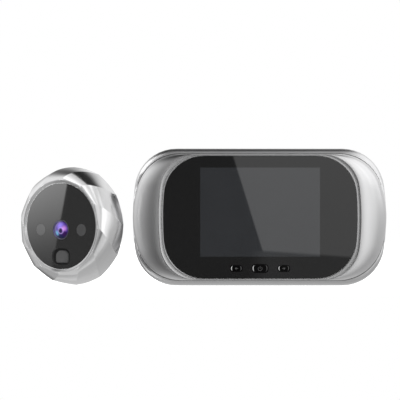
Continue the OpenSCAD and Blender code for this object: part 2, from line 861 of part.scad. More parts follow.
module lens_barrel() {
    color([0.08, 0.08, 0.09])
    outdoors()
    translate([0, 0, lens_z])
        turned([[3, c_step - 2], [3.6, c_step - 2], [3.6, c_step - 5], [lens_r, c_step - 5],
            [lens_r, c_win_f - 0.2], [lens_r - 0.15, c_win_f - 0.4], [glass_r + 0.2, c_win_f - 0.4],
            [glass_r + 0.1, c_win_f + 1.2], [3, c_win_f + 1.2]]);
}

// Front element with a domed face
module lens_glass() {
    color([0.25, 0.15, 0.4])
    outdoors()
    translate([0, 0, lens_z])
        turned(concat(
            [[0, c_win_f + 1.2], [glass_r, c_win_f + 1.2]],
            [for (k = [0:8]) let (a = 43 - k * 43 / 8, ball = glass_r / sin(43))
                [ball * sin(a), c_win_f + 0.5 - ball * (cos(a) - cos(43)) * 0.75]]
        ));
}

module camera_board() {
    color("darkgreen")
    outdoors()
    difference() {
        rod(0, 0, c_back_r - slide_fit, c_step, c_step + c_board_t);
        for (a = c_boss_at)
            rod(c_boss_ring * cos(a), c_boss_ring * sin(a), c_boss_r + c_boss_room,
                c_step - 1, c_step + 3);
    }
}

module camera_ribbon_socket() {
    color("ivory")
    outdoors()
    difference() {
        block(-6, 6, c_step + c_board_t, c_step + c_board_t + 2.2, -2.5, 2.5);
        block(-4.8, 4.8, c_step + c_board_t + 0.9, c_step + c_board_t + 3, -0.6, 0.6);
    }
}

// Call button: domed-top cap sunk in the window, its flange behind the window, and the push stem
module doorbell_button() {
    color([0.2, 0.2, 0.21])
    outdoors()
    union() {
        translate([0, c_win_b + 1, bell_z])
            rotate([90, 0, 0])
            linear_extrude(c_win_t + 1 - bell_sink)
            bell_shape();
        intersection() {
            pad(0, bell_z, bell_hole_w + 1.4, bell_hole_h + 0.9, 3.6, c_win_b + 0.25, c_win_b + 1.05);
            rod(0, 0, c_open_r - 0.3, c_win_b, c_win_b + 2);
        }
        rod(0, bell_z, 1.6, c_win_b + 1, c_step - 2.15);
    }
}

module bell_shape() {
    square([bell_w - 2, bell_h], center = true);
    translate([0, -0.9])
        square([bell_w, bell_h - 3.8], center = true);
    for (i = [-1, 1]) {
        translate([i * (bell_w / 2 - 1), -bell_h / 2 + 1])
            circle(1);
        translate([i * (bell_w / 2 - 2.8), bell_h / 2 - 2.8])
            circle(2.8);
    }
}

module doorbell_plunger() {
    color("black")
    outdoors()
        rod(0, bell_z, 1.1, c_step - 2.15, c_step - 0.9);
}

module doorbell_switch() {
    color("dimgray")
    outdoors()
    difference() {
        block(-2.1, 2.1, c_step - 1.6, c_step, bell_z - 2.1, bell_z + 2.1);
        rod(0, bell_z, 1.25, c_step - 2, c_step - 0.75 + bell_travel);
    }
}

module camera_back_plate() {
    color([0.13, 0.13, 0.14])
    outdoors()
    difference() {
        union() {
            rod(0, 0, c_back_r - slide_fit, c_plate_f, camera_back);
            for (a = c_post_at)
                rod(c_post_ring * cos(a), c_post_ring * sin(a), 1.6, c_step + c_board_t, c_plate_f + 1);
        }
        rod(0, 0, tube_d / 2 + 0.3 + seat_fit, c_plate_f - 1, camera_back + 1);
        for (a = c_boss_at) {
            rod(c_boss_ring * cos(a), c_boss_ring * sin(a), 1.3, c_plate_f - 1, camera_back + 1);
            rod(c_boss_ring * cos(a), c_boss_ring * sin(a), 2.4, camera_back - 1.2, camera_back + 1);
        }
    }
}

module camera_screws() {
    color("gray")
    outdoors()
    for (a = c_boss_at)
        screw(c_boss_ring * cos(a), c_boss_ring * sin(a), 2.1, 1.1, 1, c_wall + 4, camera_back - 0.1);
}

module camera_seal() {
    color([0.1, 0.1, 0.1])
    outdoors()
    difference() {
        rod(0, 0, c_back_r + 0.9, camera_back, camera_back + seal_t);
        rod(0, 0, c_boss_ring + 2.5, camera_back - 1, camera_back + seal_t + 1);
    }
}

module door_tube() {
    color([0.16, 0.16, 0.17])
    outdoors()
    difference() {
        union() {
            rod(0, 0, tube_d / 2, c_plate_f - 1.4, tube_end);
            rod(0, 0, tube_d / 2 + 0.3, c_plate_f - 1.4, camera_back);
            rod(0, 0, tube_d / 2 + 3.4, c_plate_f - 1.4, c_plate_f);
        }
        pad(0, 0, ribbon_w - 0.4, 10.6, 1.2, c_plate_f - 3, tube_end + 1);
        for (i = [-1, 1])
            rod(i * clamp_pitch / 2, 0, 1.25, tube_end - 14, tube_end + 1);
    }
}

front_shell();
window_trim();
display_window();
window_tape();
lcd_gasket();
lcd_panel();
lcd_backlight();
main_board();
board_chips();
button_switches();
left_button_cap();
power_button_cap();
right_button_cap();
left_plunger();
power_plunger();
right_plunger();
ribbon_socket();
speaker_frame();
speaker_cone();
rear_shell();
battery_door();
battery_cells();
battery_plates();
battery_springs();
shell_screws();
board_screws();
mounting_bracket();
camera_housing();
camera_trim_ring();
camera_window();
camera_window_tape();
ir_lens_covers();
ir_leds();
lens_holder();
image_sensor();
lens_barrel();
lens_glass();
camera_board();
camera_ribbon_socket();
doorbell_button();
doorbell_plunger();
doorbell_switch();
camera_back_plate();
camera_screws();
camera_seal();
door_tube();
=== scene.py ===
import json
import math

import bmesh
import bpy
from mathutils import Matrix, Vector, kdtree

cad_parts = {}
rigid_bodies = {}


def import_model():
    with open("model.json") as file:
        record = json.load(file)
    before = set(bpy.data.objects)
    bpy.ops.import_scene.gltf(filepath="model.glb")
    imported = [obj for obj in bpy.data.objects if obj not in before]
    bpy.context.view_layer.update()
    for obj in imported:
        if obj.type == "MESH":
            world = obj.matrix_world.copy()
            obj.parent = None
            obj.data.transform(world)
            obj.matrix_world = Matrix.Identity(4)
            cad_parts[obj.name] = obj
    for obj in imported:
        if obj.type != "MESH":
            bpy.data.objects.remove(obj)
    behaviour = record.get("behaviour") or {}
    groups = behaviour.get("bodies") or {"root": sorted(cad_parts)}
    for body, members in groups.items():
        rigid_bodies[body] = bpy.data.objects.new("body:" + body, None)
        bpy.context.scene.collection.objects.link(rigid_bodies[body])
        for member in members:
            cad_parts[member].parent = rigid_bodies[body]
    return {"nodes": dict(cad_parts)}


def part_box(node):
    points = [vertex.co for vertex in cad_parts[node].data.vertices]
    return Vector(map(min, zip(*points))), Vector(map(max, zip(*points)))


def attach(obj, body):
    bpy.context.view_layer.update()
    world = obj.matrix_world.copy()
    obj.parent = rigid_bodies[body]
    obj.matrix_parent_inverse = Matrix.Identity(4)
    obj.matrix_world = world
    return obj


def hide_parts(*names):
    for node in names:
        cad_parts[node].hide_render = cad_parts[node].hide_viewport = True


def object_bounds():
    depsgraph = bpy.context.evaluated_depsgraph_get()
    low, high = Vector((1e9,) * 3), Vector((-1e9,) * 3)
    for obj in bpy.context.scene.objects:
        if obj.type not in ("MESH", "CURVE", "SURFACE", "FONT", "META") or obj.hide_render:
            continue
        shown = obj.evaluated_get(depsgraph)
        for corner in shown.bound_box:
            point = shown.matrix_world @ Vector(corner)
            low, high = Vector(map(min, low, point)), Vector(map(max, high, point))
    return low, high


bl_info = {
    "name": "Door viewer finishing",
    "version": (1, 0, 0),
    "blender": (4, 5, 0),
    "location": "View3D > Sidebar > Door viewer",
    "description": "Dresses a peephole door camera: silver monitor, gem-cut outdoor unit",
    "category": "Object",
}

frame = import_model()
CAD_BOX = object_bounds()
NODES = frame["nodes"]
MM = 0.001
WELD = 2e-6  # points closer than this, in metres, become one

# Depths of the monitor's front, in mm, read from the solids
SHELL_LIP = 1.5
LEDGE_BACK = 1.9
Y_WINDOW, Y_WINDOW_BACK = (corner.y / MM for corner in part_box("display_window"))
Y_TRIM, Y_PLATEAU = (corner.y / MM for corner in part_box("window_trim"))
Y_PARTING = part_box("front_shell")[1].y / MM - SHELL_LIP
Y_WALL = Y_WINDOW_BACK + LEDGE_BACK


def half_height(node):
    """Half the height of a solid of the monitor, in mm."""
    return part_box(node)[1].z / MM


# Outlines of the monitor: half width, half height, corner radius, side radius
PARTING = (61.0, half_height("front_shell"), 21.3, 48.0)
TRIM = (48.65, half_height("window_trim"), 17.4, 121.0)
SEAT = (46.45, half_height("display_window") + 0.15, 19.45, 150.15)
GROOVE = 0.3
WALL = 1.8
LEDGE_WIDTH = 2.0
LEDGE_THICK = 1.7

# Window: where its openings lie from the middle and inside its edge, its rim's bevel, and the
# panel's border beside and above the picture
OPENINGS_ASIDE = 20.0
OPENINGS_INSIDE = 1.5
WINDOW_BEVEL = 0.1
PANEL_BORDER = (6.0, 2.9)

# Front buttons: how much larger their flange is, its thickness, and the height of the end bevels
CAP_FLANGE = (1.6, 0.6)
CAP_STEP = 0.8
CAP_RISE = 0.55
ICON_RISE = 0.02

# The outdoor unit stands beside the monitor, turned to the left
YAW = math.radians(-34)
DISC_Z = sum(corner.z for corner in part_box("camera_trim_ring")) / 2 / MM
OUTDOOR = Matrix.Translation(Vector((-89.0, -4.0, DISC_Z))) @ Matrix.Rotation(YAW, 4, "Z")
OUTDOOR_EDGE = -62.0  # pieces that reach further left than this, in mm, belong to it
DISC_FRONT = -11.9

# Lens: its height, radius, arc and flattening, and its shoulder and foot behind the disc's front
LENS_Z = -1.75
LENS_R = 4.2
LENS_ARC = math.radians(43)
LENS_FLATTENED = 0.75
LENS_SHOULDER, LENS_FOOT = 0.5, 1.2

# Call button: its height, size, radii above and below and soft edge, and its skirt. Its front, its
# foot and the skirt lie behind the disc's front
CALL_Z = -14.7
CALL_SIZE = (7.2, 5.9)
CALL_RADII = (2.8, 1.0)
CALL_SOFT = 0.5
CALL_FRONT, CALL_FOOT = 0.6, 2.4
SKIRT_SIZE, SKIRT_RADIUS = (12.0, 8.4), 3.6
SKIRT_DEPTHS = (1.65, 2.45)

# Gem: its radii, the depths of its rim and back, and the bow of its edges at the rim and beyond
GEM_SIDES = 12
GEM_RIM, GEM_WIDEST, GEM_BASE = 22.81, 28.54, 23.7
GEM_FRONT, GEM_BACK = 12.4, 6.5
GEM_BOW = (0.25, 0.62)
# Its flank: where it starts along its quarter turn, how square the turn is, how the corners run
GEM_FROM = 20.0
GEM_POWER = 0.75
GEM_TURN = 1.5
GEM_TWIST = 26.5
FACET = 360 / GEM_SIDES
# Its ridges: all that lies outside this radius, this close to a corner's angle in degrees
RIDGE_OUTSIDE = 21.95
RIDGE_REACH = 0.5


def millimetres(label, note, default):
    """Length setting, kept in metres and given here in millimetres."""
    return bpy.props.FloatProperty(
        name=label, description=note, default=default * MM, min=0.0, unit="LENGTH")


def colour(label, note, default):
    """Colour setting."""
    return bpy.props.FloatVectorProperty(
        name=label, description=note, default=default, size=3, min=0.0, max=1.0, subtype="COLOR")


def share(label, note, default):
    """Setting from nought to one."""
    return bpy.props.FloatProperty(
        name=label, description=note, default=default, min=0.0, max=1.0, subtype="FACTOR")


class ViewerFinishes(bpy.types.PropertyGroup):
    """Colours and gloss of the visible surfaces."""

    shell: colour("Shell silver", "Satin silver paint of both monitor shells", (0.74, 0.74, 0.745))
    shell_rough: share("Shell roughness", "Blur of the satin paint", 0.295)
    chrome: colour("Gem chrome", "Plating of the gem-cut housing", (0.825, 0.825, 0.83))
    chrome_rough: share("Chrome roughness", "Blur of the plating", 0.19)
    glass: colour("Window black", "Print behind the monitor's window", (0.0084, 0.0084, 0.0085))
    picture: colour("Picture area", "Dark display behind the window", (0.0238, 0.0252, 0.0278))
    disc: colour("Disc black", "Tint of the outdoor unit's round window", (0.021, 0.021, 0.021))
    cover: colour("Infrared cover", "Tint of the two covers in the disc", (0.068, 0.068, 0.069))
    icon: colour("Icon grey", "Print on the three buttons", (0.06, 0.06, 0.06))
    call: colour("Call button", "Moulded cap of the call button", (0.085, 0.085, 0.086))


class ViewerSizes(bpy.types.PropertyGroup):
    """Sizes of the details that the finishing adds."""

    ridge: millimetres("Ridge rounding", "Rounding of the ridges between the facets", 0.1)
    cap_end: millimetres("Cap end bevel", "Width of the bevel at the ends of a front button", 0.7)
    cap_edge: millimetres("Cap edge bevel", "Width of the bevel along a front button", 0.02)
    icon_line: millimetres("Icon line", "Line width of the icons", 0.2)
    icon_height: millimetres("Icon height", "Height of the power icon", 2.1)


class ViewerStage(bpy.types.PropertyGroup):
    """Camera and floor."""

    lens: bpy.props.FloatProperty(
        name="Focal length", description="Focal length of the camera, in mm", default=220.0,
        min=50.0, unit="CAMERA")
    width: millimetres("Picture width", "Width that the picture covers at the monitor", 193.2)
    floor: colour("Floor", "Pale floor", (0.86, 0.86, 0.86))


def finishes():
    return bpy.context.scene.viewer_finishes


def sizes():
    return bpy.context.scene.viewer_sizes


# Outlines and rings, in mm


def blend(a, b, t):
    return tuple(p + (q - p) * t for p, q in zip(a, b))


def inset(shape, t):
    return tuple(v - t for v in shape)


def outline(shape, sides=8, corners=18):
    """Loop of (x, z) points: two bowed sides, four round corners, straight top and bottom."""
    half_w, half_h, corner, side = shape
    reach = half_w - side
    cx = reach + math.sqrt((side - corner) ** 2 - (half_h - corner) ** 2)
    cz = half_h - corner
    turn = math.atan2(cz, cx - reach)
    quarter = []
    for i in range(sides + 1):
        a = turn * i / sides
        quarter.append((reach + side * math.cos(a), side * math.sin(a)))
    for i in range(1, corners + 1):
        a = turn + (math.pi / 2 - turn) * i / corners
        quarter.append((cx + corner * math.cos(a), cz + corner * math.sin(a)))
    left = [(-x, z) for x, z in reversed(quarter)]
    below = [(-x, -z) for x, z in quarter[1:]] + [(x, -z) for x, z in reversed(quarter[1:])]
    return quarter + left + below


def pill(x, z, w, h, top, bottom=None, steps=10):
    """Loop of (x, z) points round a rounded rectangle, whose bottom may have its own radius."""
    bottom = top if bottom is None else bottom
    points = []
    for sx, sz, r, start in ((1, 1, top, 0), (-1, 1, top, 90),
                             (-1, -1, bottom, 180), (1, -1, bottom, 270)):
        for i in range(steps + 1):
            a = math.radians(start + 90 * i / steps)
            points.append((x + sx * (w / 2 - r) + r * math.cos(a),
                           z + sz * (h / 2 - r) + r * math.sin(a)))
    return points


def at_depth(points, y):
    return [(x, y, z) for x, z in points]


def outline_ring(shape, y):
    """Ring of a monitor outline at a depth."""
    return at_depth(outline(shape), y)


def swell(near, far, y_near, y_far, angles):
    """Rings that swell from one outline to another along a quarter turn."""
    rings = []
    for angle in angles:
        u = math.radians(angle)
        rings.append(outline_ring(blend(near, far, math.sin(u)),
                                  y_near + (y_far - y_near) * (1 - math.cos(u))))
    return rings


def gem_ring(r, y, turn, bow, parts=4):
    """Ring of softly bowed facet edges between turned corners."""
    points = []
    for i in range(GEM_SIDES):
        a, b = math.radians(FACET * i + turn), math.radians(FACET * (i + 1) + turn)
        for j in range(parts):
            t = j / parts
            m = a + (b - a) * t
            x = math.cos(a) * (1 - t) + math.cos(b) * t
            z = math.sin(a) * (1 - t) + math.sin(b) * t
            points.append((r * (x + (math.cos(m) - x) * bow), y,
                           r * (z + (math.sin(m) - z) * bow)))
    return points


def round_ring(r, y, turn=0.0, count=48):
    angles = [math.radians(turn) + 2 * math.pi * i / count for i in range(count)]
    return [(r * math.cos(a), y, r * math.sin(a)) for a in angles]


# Modelling steps


def clear_selection():
    """Object mode with nothing selected."""
    if bpy.context.mode != "OBJECT":
        bpy.ops.object.mode_set(mode="OBJECT")
    bpy.ops.object.select_all(action="DESELECT")


def pick(piece):
    """Selects one piece alone and makes it the active one."""
    clear_selection()
    piece.select_set(True)
    bpy.context.view_layer.objects.active = piece


def point_tree(points):
    """Search tree over a loop of points."""
    tree = kdtree.KDTree(len(points))
    for i, p in enumerate(points):
        tree.insert(p, i)
    tree.balance()
    return tree


def draw_ring(mesh, points):
    """Moves the selected circle of a mesh in edit mode onto a loop of points."""
    edit = bmesh.from_edit_mesh(mesh)
    chosen = [v for v in edit.verts if v.select]
    for v, p in zip(chosen, points):
        v.co = p
    bmesh.update_edit_mesh(mesh)


def pull_ring(mesh, old, new):
    """Extrudes the selected loop and carries each of its points from the old loop to the new."""
    bpy.ops.mesh.extrude_region()
    edit = bmesh.from_edit_mesh(mesh)
    tree = point_tree(old)
    for v in edit.verts:
        if v.select:
            v.co = new[tree.find(v.co)[1]]
    bmesh.update_edit_mesh(mesh)


def select_near(mesh, points, reach=1e-6):
    """Selects the open edges of the loop that lies on the given points."""
    edit = bmesh.from_edit_mesh(mesh)
    tree = point_tree(points)
    on_loop = {v for v in edit.verts if tree.find(v.co)[2] < reach}
    for v in edit.verts:
        v.select = False
    for f in edit.faces:
        f.select = False
    for e in edit.edges:
        a, b = e.verts
        e.select = a in on_loop and b in on_loop and len(e.link_faces) < 2
        if e.select:
            a.select = True
            b.select = True
    bmesh.update_edit_mesh(mesh)


def new_circle(name, count):
    """Circle to start a piece from, in edit mode with all of it selected."""
    clear_selection()
    bpy.ops.mesh.primitive_circle_add(vertices=count, radius=1.0, fill_type="NOTHING")
    piece = bpy.context.object
    piece.name = name
    piece.data.name = name
    bpy.ops.object.mode_set(mode="EDIT")
    bpy.ops.mesh.select_all(action="SELECT")
    return piece


def loft(name, rings, ends="joined", place=Matrix()):
    """Piece through rings of points. Its ends are joined to each other, or filled."""
    rings = [[(place @ Vector(p)) * MM for p in ring] for ring in rings]
    piece = new_circle(name, len(rings[0]))
    draw_ring(piece.data, rings[0])
    following = rings[1:]
    if ends == "filled":
        bpy.ops.mesh.edge_face_add()
        bpy.ops.mesh.select_mode(type="EDGE")
        bpy.ops.mesh.duplicate()
        bpy.ops.mesh.delete(type="ONLY_FACE")
        select_near(piece.data, rings[0])
    else:
        following = following + rings[:1]
    for old, new in zip(rings, following):
        pull_ring(piece.data, old, new)
    if ends == "filled":
        bpy.ops.mesh.edge_face_add()
    bpy.ops.mesh.select_all(action="SELECT")
    bpy.ops.mesh.remove_doubles(threshold=WELD)
    bpy.ops.mesh.normals_make_consistent(inside=False)
    bpy.ops.object.mode_set(mode="OBJECT")
    return piece


def merged_copy(node, name):
    """Copy of a solid's mesh with its loose triangles merged, selected and active."""
    piece = bpy.data.objects.new(name, NODES[node].data.copy())
    piece.data.name = name
    bpy.context.scene.collection.objects.link(piece)
    pick(piece)
    bpy.ops.object.mode_set(mode="EDIT")
    bpy.ops.mesh.select_all(action="SELECT")
    bpy.ops.mesh.remove_doubles(threshold=WELD)
    bpy.ops.mesh.dissolve_limited(angle_limit=math.radians(0.5))
    bpy.ops.object.mode_set(mode="OBJECT")
    return piece


def dress(piece, body, slot, finish, *nodes, smooth=35):
    """Gives a piece its finish and its body, and hides the solids that it stands for."""
    pick(piece)
    bpy.ops.object.shade_smooth_by_angle(angle=math.radians(smooth))
    piece.data.materials.clear()
    piece.data.materials.append(finish)
    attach(piece, body)
    if nodes:
        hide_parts(*nodes)
    return piece


# Shader nodes


def put(tree, socket, value):
    """Links a socket, or sets its value."""
    if isinstance(value, bpy.types.NodeSocket):
        tree.links.new(value, socket)
    elif socket.type == "RGBA" and len(value) == 3:
        socket.default_value = (*value, 1.0)
    else:
        socket.default_value = value


def add(tree, kind, **values):
    """New node with its settings and socket values."""
    made = tree.nodes.new(kind)
    for key, value in values.items():
        if key in made.inputs:
            put(tree, made.inputs[key], value)
        else:
            setattr(made, key, value)
    return made


def noise(tree, point, scale, **values):
    """Noise over a point."""
    return add(tree, "ShaderNodeTexNoise", Vector=point, Scale=scale, **values).outputs[0]


def parts_of(tree, point):
    """Outputs X, Y and Z of a point."""
    return add(tree, "ShaderNodeSeparateXYZ", Vector=point).outputs


def calc(tree, operation, *values):
    """Math node over numbers and sockets."""
    made = tree.nodes.new("ShaderNodeMath")
    made.operation = operation
    for socket, value in zip(made.inputs, values):
        put(tree, socket, value)
    return made.outputs[0]


def plus(tree, a, b):
    return calc(tree, "ADD", a, b)


def minus(tree, a, b):
    return calc(tree, "SUBTRACT", a, b)


def times(tree, a, b):
    return calc(tree, "MULTIPLY", a, b)


def size_of(tree, value):
    return calc(tree, "ABSOLUTE", value)


def distance(tree, a, b):
    """Distance from the steps a and b at right angles."""
    return calc(tree, "SQRT", plus(tree, times(tree, a, a), times(tree, b, b)))


def fade(tree, value, low, high, start=0.0, end=1.0, kind="SMOOTHSTEP"):
    """Map range node from one span to another."""
    made = tree.nodes.new("ShaderNodeMapRange")
    made.interpolation_type = kind
    for socket, v in zip(made.inputs, (value, low, high, start, end)):
        put(tree, socket, v)
    return made.outputs[0]


def within(tree, value, low, high):
    """One up to the low value, nought from the high one."""
    return fade(tree, value, low, high, 1.0, 0.0)


def blend_values(tree, factor, a, b):
    """Value that goes from a to b with the factor."""
    made = tree.nodes.new("ShaderNodeMix")
    made.data_type = "FLOAT"
    for socket, value in zip(made.inputs[:1] + made.inputs[2:4], (factor, a, b)):
        put(tree, socket, value)
    return made.outputs[0]


def mix_colour(tree, factor, a, b):
    """Colour that goes from a to b with the factor."""
    made = tree.nodes.new("ShaderNodeMix")
    made.data_type = "RGBA"
    for socket, value in zip(made.inputs[:1] + made.inputs[6:8], (factor, a, b)):
        put(tree, socket, value)
    return made.outputs[2]


def level_along(tree, angle, stops):
    """Level that runs through a few stops, each an angle in degrees and a level."""
    ramp = add(tree, "ShaderNodeValToRGB", Fac=calc(tree, "DIVIDE", angle, 180.0))
    band = ramp.color_ramp
    band.interpolation = "EASE"
    for i, (degrees, level) in enumerate(stops):
        stop = band.elements[i] if i < 2 else band.elements.new(degrees / 180)
        stop.position = degrees / 180
        stop.color = (level, level, level, 1)
    return ramp.outputs["Color"]


def object_point(tree, scale=(1.0, 1.0, 1.0), turn=(0.0, 0.0, 0.0), shift=(0.0, 0.0, 0.0)):
    """Object coordinates, moved, turned and scaled by a Mapping node."""
    coords = tree.nodes.new("ShaderNodeTexCoord").outputs["Object"]
    mapping = add(tree, "ShaderNodeMapping",
                  Vector=coords, Location=shift, Rotation=turn, Scale=scale)
    return mapping.outputs[0]


def outdoor_point(tree, middle, unit):
    """Coordinates along the outdoor unit's own axes, from a middle there, in units of some mm."""
    shift = -(Matrix.Rotation(-YAW, 3, "Z") @ (OUTDOOR @ middle))
    return object_point(tree, (1 / (unit * MM),) * 3, (0, 0, -YAW), tuple(shift / unit))


def new_group(name, inputs, outputs):
    """Empty group with its sockets: the tree, the outputs of its input node, its result node."""
    tree = bpy.data.node_groups.new(name, "ShaderNodeTree")
    for label, kind, default in inputs:
        socket = tree.interface.new_socket(
            name=label, in_out="INPUT", socket_type="NodeSocket" + kind)
        if default is not None:
            socket.default_value = default
    for label, kind in outputs:
        tree.interface.new_socket(name=label, in_out="OUTPUT", socket_type="NodeSocket" + kind)
    return tree, tree.nodes.new("NodeGroupInput").outputs, tree.nodes.new("NodeGroupOutput")


def fine_grain():
    """Moulding or paint grain: colour drift, uneven gloss and a small relief."""
    if "fine_grain" in bpy.data.node_groups:
        return bpy.data.node_groups["fine_grain"]
    tree, given, result = new_group(
        "fine_grain",
        [("Vector", "Vector", None), ("Colour", "Color", (0.5, 0.5, 0.5, 1)),
         ("Drift", "Color", (0.5, 0.5, 0.5, 1)), ("Scale", "Float", 900.0),
         ("Low", "Float", 0.3), ("High", "Float", 0.4)],
        [("Colour", "Color"), ("Roughness", "Float"), ("Height", "Float")])
    grain = noise(tree, given["Vector"], given["Scale"], Detail=3.0, Roughness=0.55)
    broad = noise(tree, given["Vector"], times(tree, given["Scale"], 0.05), Detail=2.0)
    both = plus(tree, times(tree, grain, 0.45), times(tree, broad, 0.55))
    drift = mix_colour(tree, fade(tree, both, 0.35, 0.65), given["Colour"], given["Drift"])
    gloss = fade(tree, both, 0.3, 0.7, given["Low"], given["High"], "LINEAR")
    for label, value in (("Colour", drift), ("Roughness", gloss), ("Height", grain)):
        put(tree, result.inputs[label], value)
    return tree


def handling_marks():
    """Faint wipe marks on polished surfaces, as a gloss value and a mask."""
    if "handling_marks" in bpy.data.node_groups:
        return bpy.data.node_groups["handling_marks"]
    tree, given, result = new_group(
        "handling_marks",
        [("Vector", "Vector", None), ("Scale", "Float", 60.0),
         ("Clean", "Float", 0.05), ("Marked", "Float", 0.12)],
        [("Roughness", "Float"), ("Mask", "Float")])
    wipe = noise(tree, given["Vector"], given["Scale"], Detail=5.0, Roughness=0.6, Distortion=1.2)
    specks = noise(tree, given["Vector"], times(tree, given["Scale"], 18.0), Detail=1.0)
    mask = times(tree, fade(tree, wipe, 0.48, 0.75), fade(tree, specks, 0.3, 0.6))
    gloss = fade(tree, mask, 0.0, 1.0, given["Clean"], given["Marked"], "LINEAR")
    for label, value in (("Roughness", gloss), ("Mask", mask)):
        put(tree, result.inputs[label], value)
    return tree


def use_group(tree, group, **values):
    made = tree.nodes.new("ShaderNodeGroup")
    made.node_tree = group
    for key, value in values.items():
        put(tree, made.inputs[key], value)
    return made.outputs


def wiped(tree, point, scale, clean, marked):
    """Wipe marks over a point: how fine they are, and the roughness without and with them."""
    return use_group(tree, handling_marks(),
                     Vector=point, Scale=scale, Clean=clean, Marked=marked)


# Finishes


SHADER_SOCKETS = {"base": "Base Color", "rough": "Roughness", "metal": "Metallic", "ior": "IOR",
                  "coat": "Coat Weight", "coat_rough": "Coat Roughness"}


def fill(tree, shader, **values):
    """Links or sets sockets of a finish's shader."""
    for key, value in values.items():
        put(tree, shader.inputs[SHADER_SOCKETS[key]], value)


def relief(tree, shader, height, strength, depth):
    bump = add(tree, "ShaderNodeBump", Height=height, Strength=strength, Distance=depth)
    tree.links.new(bump.outputs[0], shader.inputs["Normal"])


def finish_named(name, paint, *values, **options):
    """Finish of this name: the one that exists, or a new one that the painter fills in."""
    made = bpy.data.materials.get(name)
    if made is None:
        made = bpy.data.materials.new(name)
        made.use_nodes = True
        tree = made.node_tree
        paint(tree, tree.nodes["Principled BSDF"], *values, **options)
    return made


def one_finish(paint):
    """Makes a painter into a finish of the same name."""
    return lambda: finish_named(paint.__name__, paint)


def tinted(rgb, by):
    return tuple(min(1.0, c * by) for c in rgb)


def grey(level):
    return (level, level, level)


def paint_grain(tree, shader, base, drift, scale, low, high, metal=0.0, bump=0.15, depth=0.00002,
                stretch=(1.0, 1.0, 1.0)):
    """Moulded, painted or rolled surface with its own grain."""
    out = use_group(tree, fine_grain(), Vector=object_point(tree, stretch), Colour=base,
                    Drift=drift, Scale=scale, Low=low, High=high)
    fill(tree, shader, base=out["Colour"], rough=out["Roughness"], metal=metal, ior=1.5)
    relief(tree, shader, out["Height"], bump, depth)


def grained(name, *values, **options):
    return finish_named(name, paint_grain, *values, **options)


@one_finish
def satin_silver(tree, shader):
    """Satin paint of the shells, with painted shade: the base turns dark in a thin line along the
    parting where they meet.
    """
    f = finishes()
    rough = f.shell_rough
    paint_grain(tree, shader, tuple(f.shell), tinted(f.shell, 0.985), 2600.0,
                rough - 0.01, rough + 0.015, metal=1.0, bump=0.004, depth=0.000003)
    base = shader.inputs["Base Color"]
    # Painted shade: a thin, nearly black line in the base colour along the parting, where the
    # recess between the shells would be in shade.
    depth = parts_of(tree, object_point(tree))["Y"]
    away = size_of(tree, minus(tree, depth, Y_PARTING * MM))
    parting_shade = within(tree, away, (GROOVE + 0.05) * MM, (GROOVE + 0.07) * MM)
    fill(tree, shader, base=mix_colour(tree, parting_shade, base.links[0].from_socket, grey(0.03)))


def bright_trim():
    """Brighter metal of the window's trim and the disc's bezel."""
    shell = finishes().shell
    return grained("bright_trim", tinted(shell, 0.79), tinted(shell, 0.745), 1800.0, 0.2, 0.24,
                   metal=1.0, bump=0.02, depth=0.000003)


@one_finish
def gem_chrome(tree, shader):
    """Bright plating with faint wipe marks."""
    f = finishes()
    point = object_point(tree)
    marks = wiped(tree, point, 70.0, f.chrome_rough, f.chrome_rough + 0.08)
    tint = mix_colour(tree, marks["Mask"], tuple(f.chrome), tinted(f.chrome, 0.93))
    fill(tree, shader, base=tint, rough=marks["Roughness"], metal=1.0)
    relief(tree, shader, noise(tree, point, 45.0, Detail=1.0), 0.06, 0.00004)


def box_mask(tree, point, half_w, half_h, middle, soft):
    """Mask of a rectangle in x and z."""
    parts = parts_of(tree, point)
    up = size_of(tree, minus(tree, parts["Z"], middle))
    return times(tree, within(tree, size_of(tree, parts["X"]), half_w, half_w + soft),
                 within(tree, up, half_h, half_h + soft))


@one_finish
def window_black(tree, shader):
    """Hard coated window: black print, and the dark display behind its clear part."""
    f = finishes()
    point = object_point(tree)
    low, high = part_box("lcd_panel")
    beside, over = PANEL_BORDER
    half_w = (high.x - low.x) / 2 - beside * MM
    half_h = (high.z - low.z) / 2 - over * MM
    picture = box_mask(tree, point, half_w, half_h, (low.z + high.z) / 2, 0.15 * MM)
    shown = mix_colour(tree, noise(tree, point, 38.0, Detail=2.0),
                       tinted(f.picture, 0.88), tinted(f.picture, 1.12))
    marks = wiped(tree, point, 55.0, 0.008, 0.02)
    fill(tree, shader, base=mix_colour(tree, picture, tuple(f.glass), shown),
         rough=marks["Roughness"], coat=times(tree, picture, 0.55), coat_rough=0.01, ior=1.6)


def paint_smoked(tree, shader, tint):
    """Smoked polished face of the outdoor unit, matt black where it is cut."""
    marks = wiped(tree, object_point(tree), 80.0, 0.008, 0.02)
    depth = parts_of(tree, outdoor_point(tree, Vector((0, DISC_FRONT, 0)), 1.0))["Y"]
    cut = fade(tree, depth, 0.03, 0.06)
    face = mix_colour(tree, marks["Mask"], tint, tinted(tint, 1.15))
    fill(tree, shader, base=mix_colour(tree, cut, face, grey(0.002)),
         rough=blend_values(tree, cut, marks["Roughness"], 0.85), ior=1.75)


def disc_black():
    return finish_named("disc_black", paint_smoked, tuple(finishes().disc))


def infrared_cover():
    return finish_named("infrared_cover", paint_smoked, tuple(finishes().cover))


@one_finish
def piano_black(tree, shader):
    """Glossy moulded black of the front button caps, with polished bevels at the ends."""
    marks = wiped(tree, object_point(tree), 300.0, 0.03, 0.06)
    facing = parts_of(tree, tree.nodes.new("ShaderNodeTexCoord").outputs["Normal"])
    bevel = times(tree, fade(tree, size_of(tree, facing["X"]), 0.25, 0.4),
                  fade(tree, size_of(tree, facing["Y"]), 0.3, 0.5))
    black = mix_colour(tree, marks["Mask"], grey(0.001), grey(0.002))
    fill(tree, shader, base=mix_colour(tree, bevel, black, grey(0.14)),
         rough=marks["Roughness"], metal=bevel, ior=1.25)


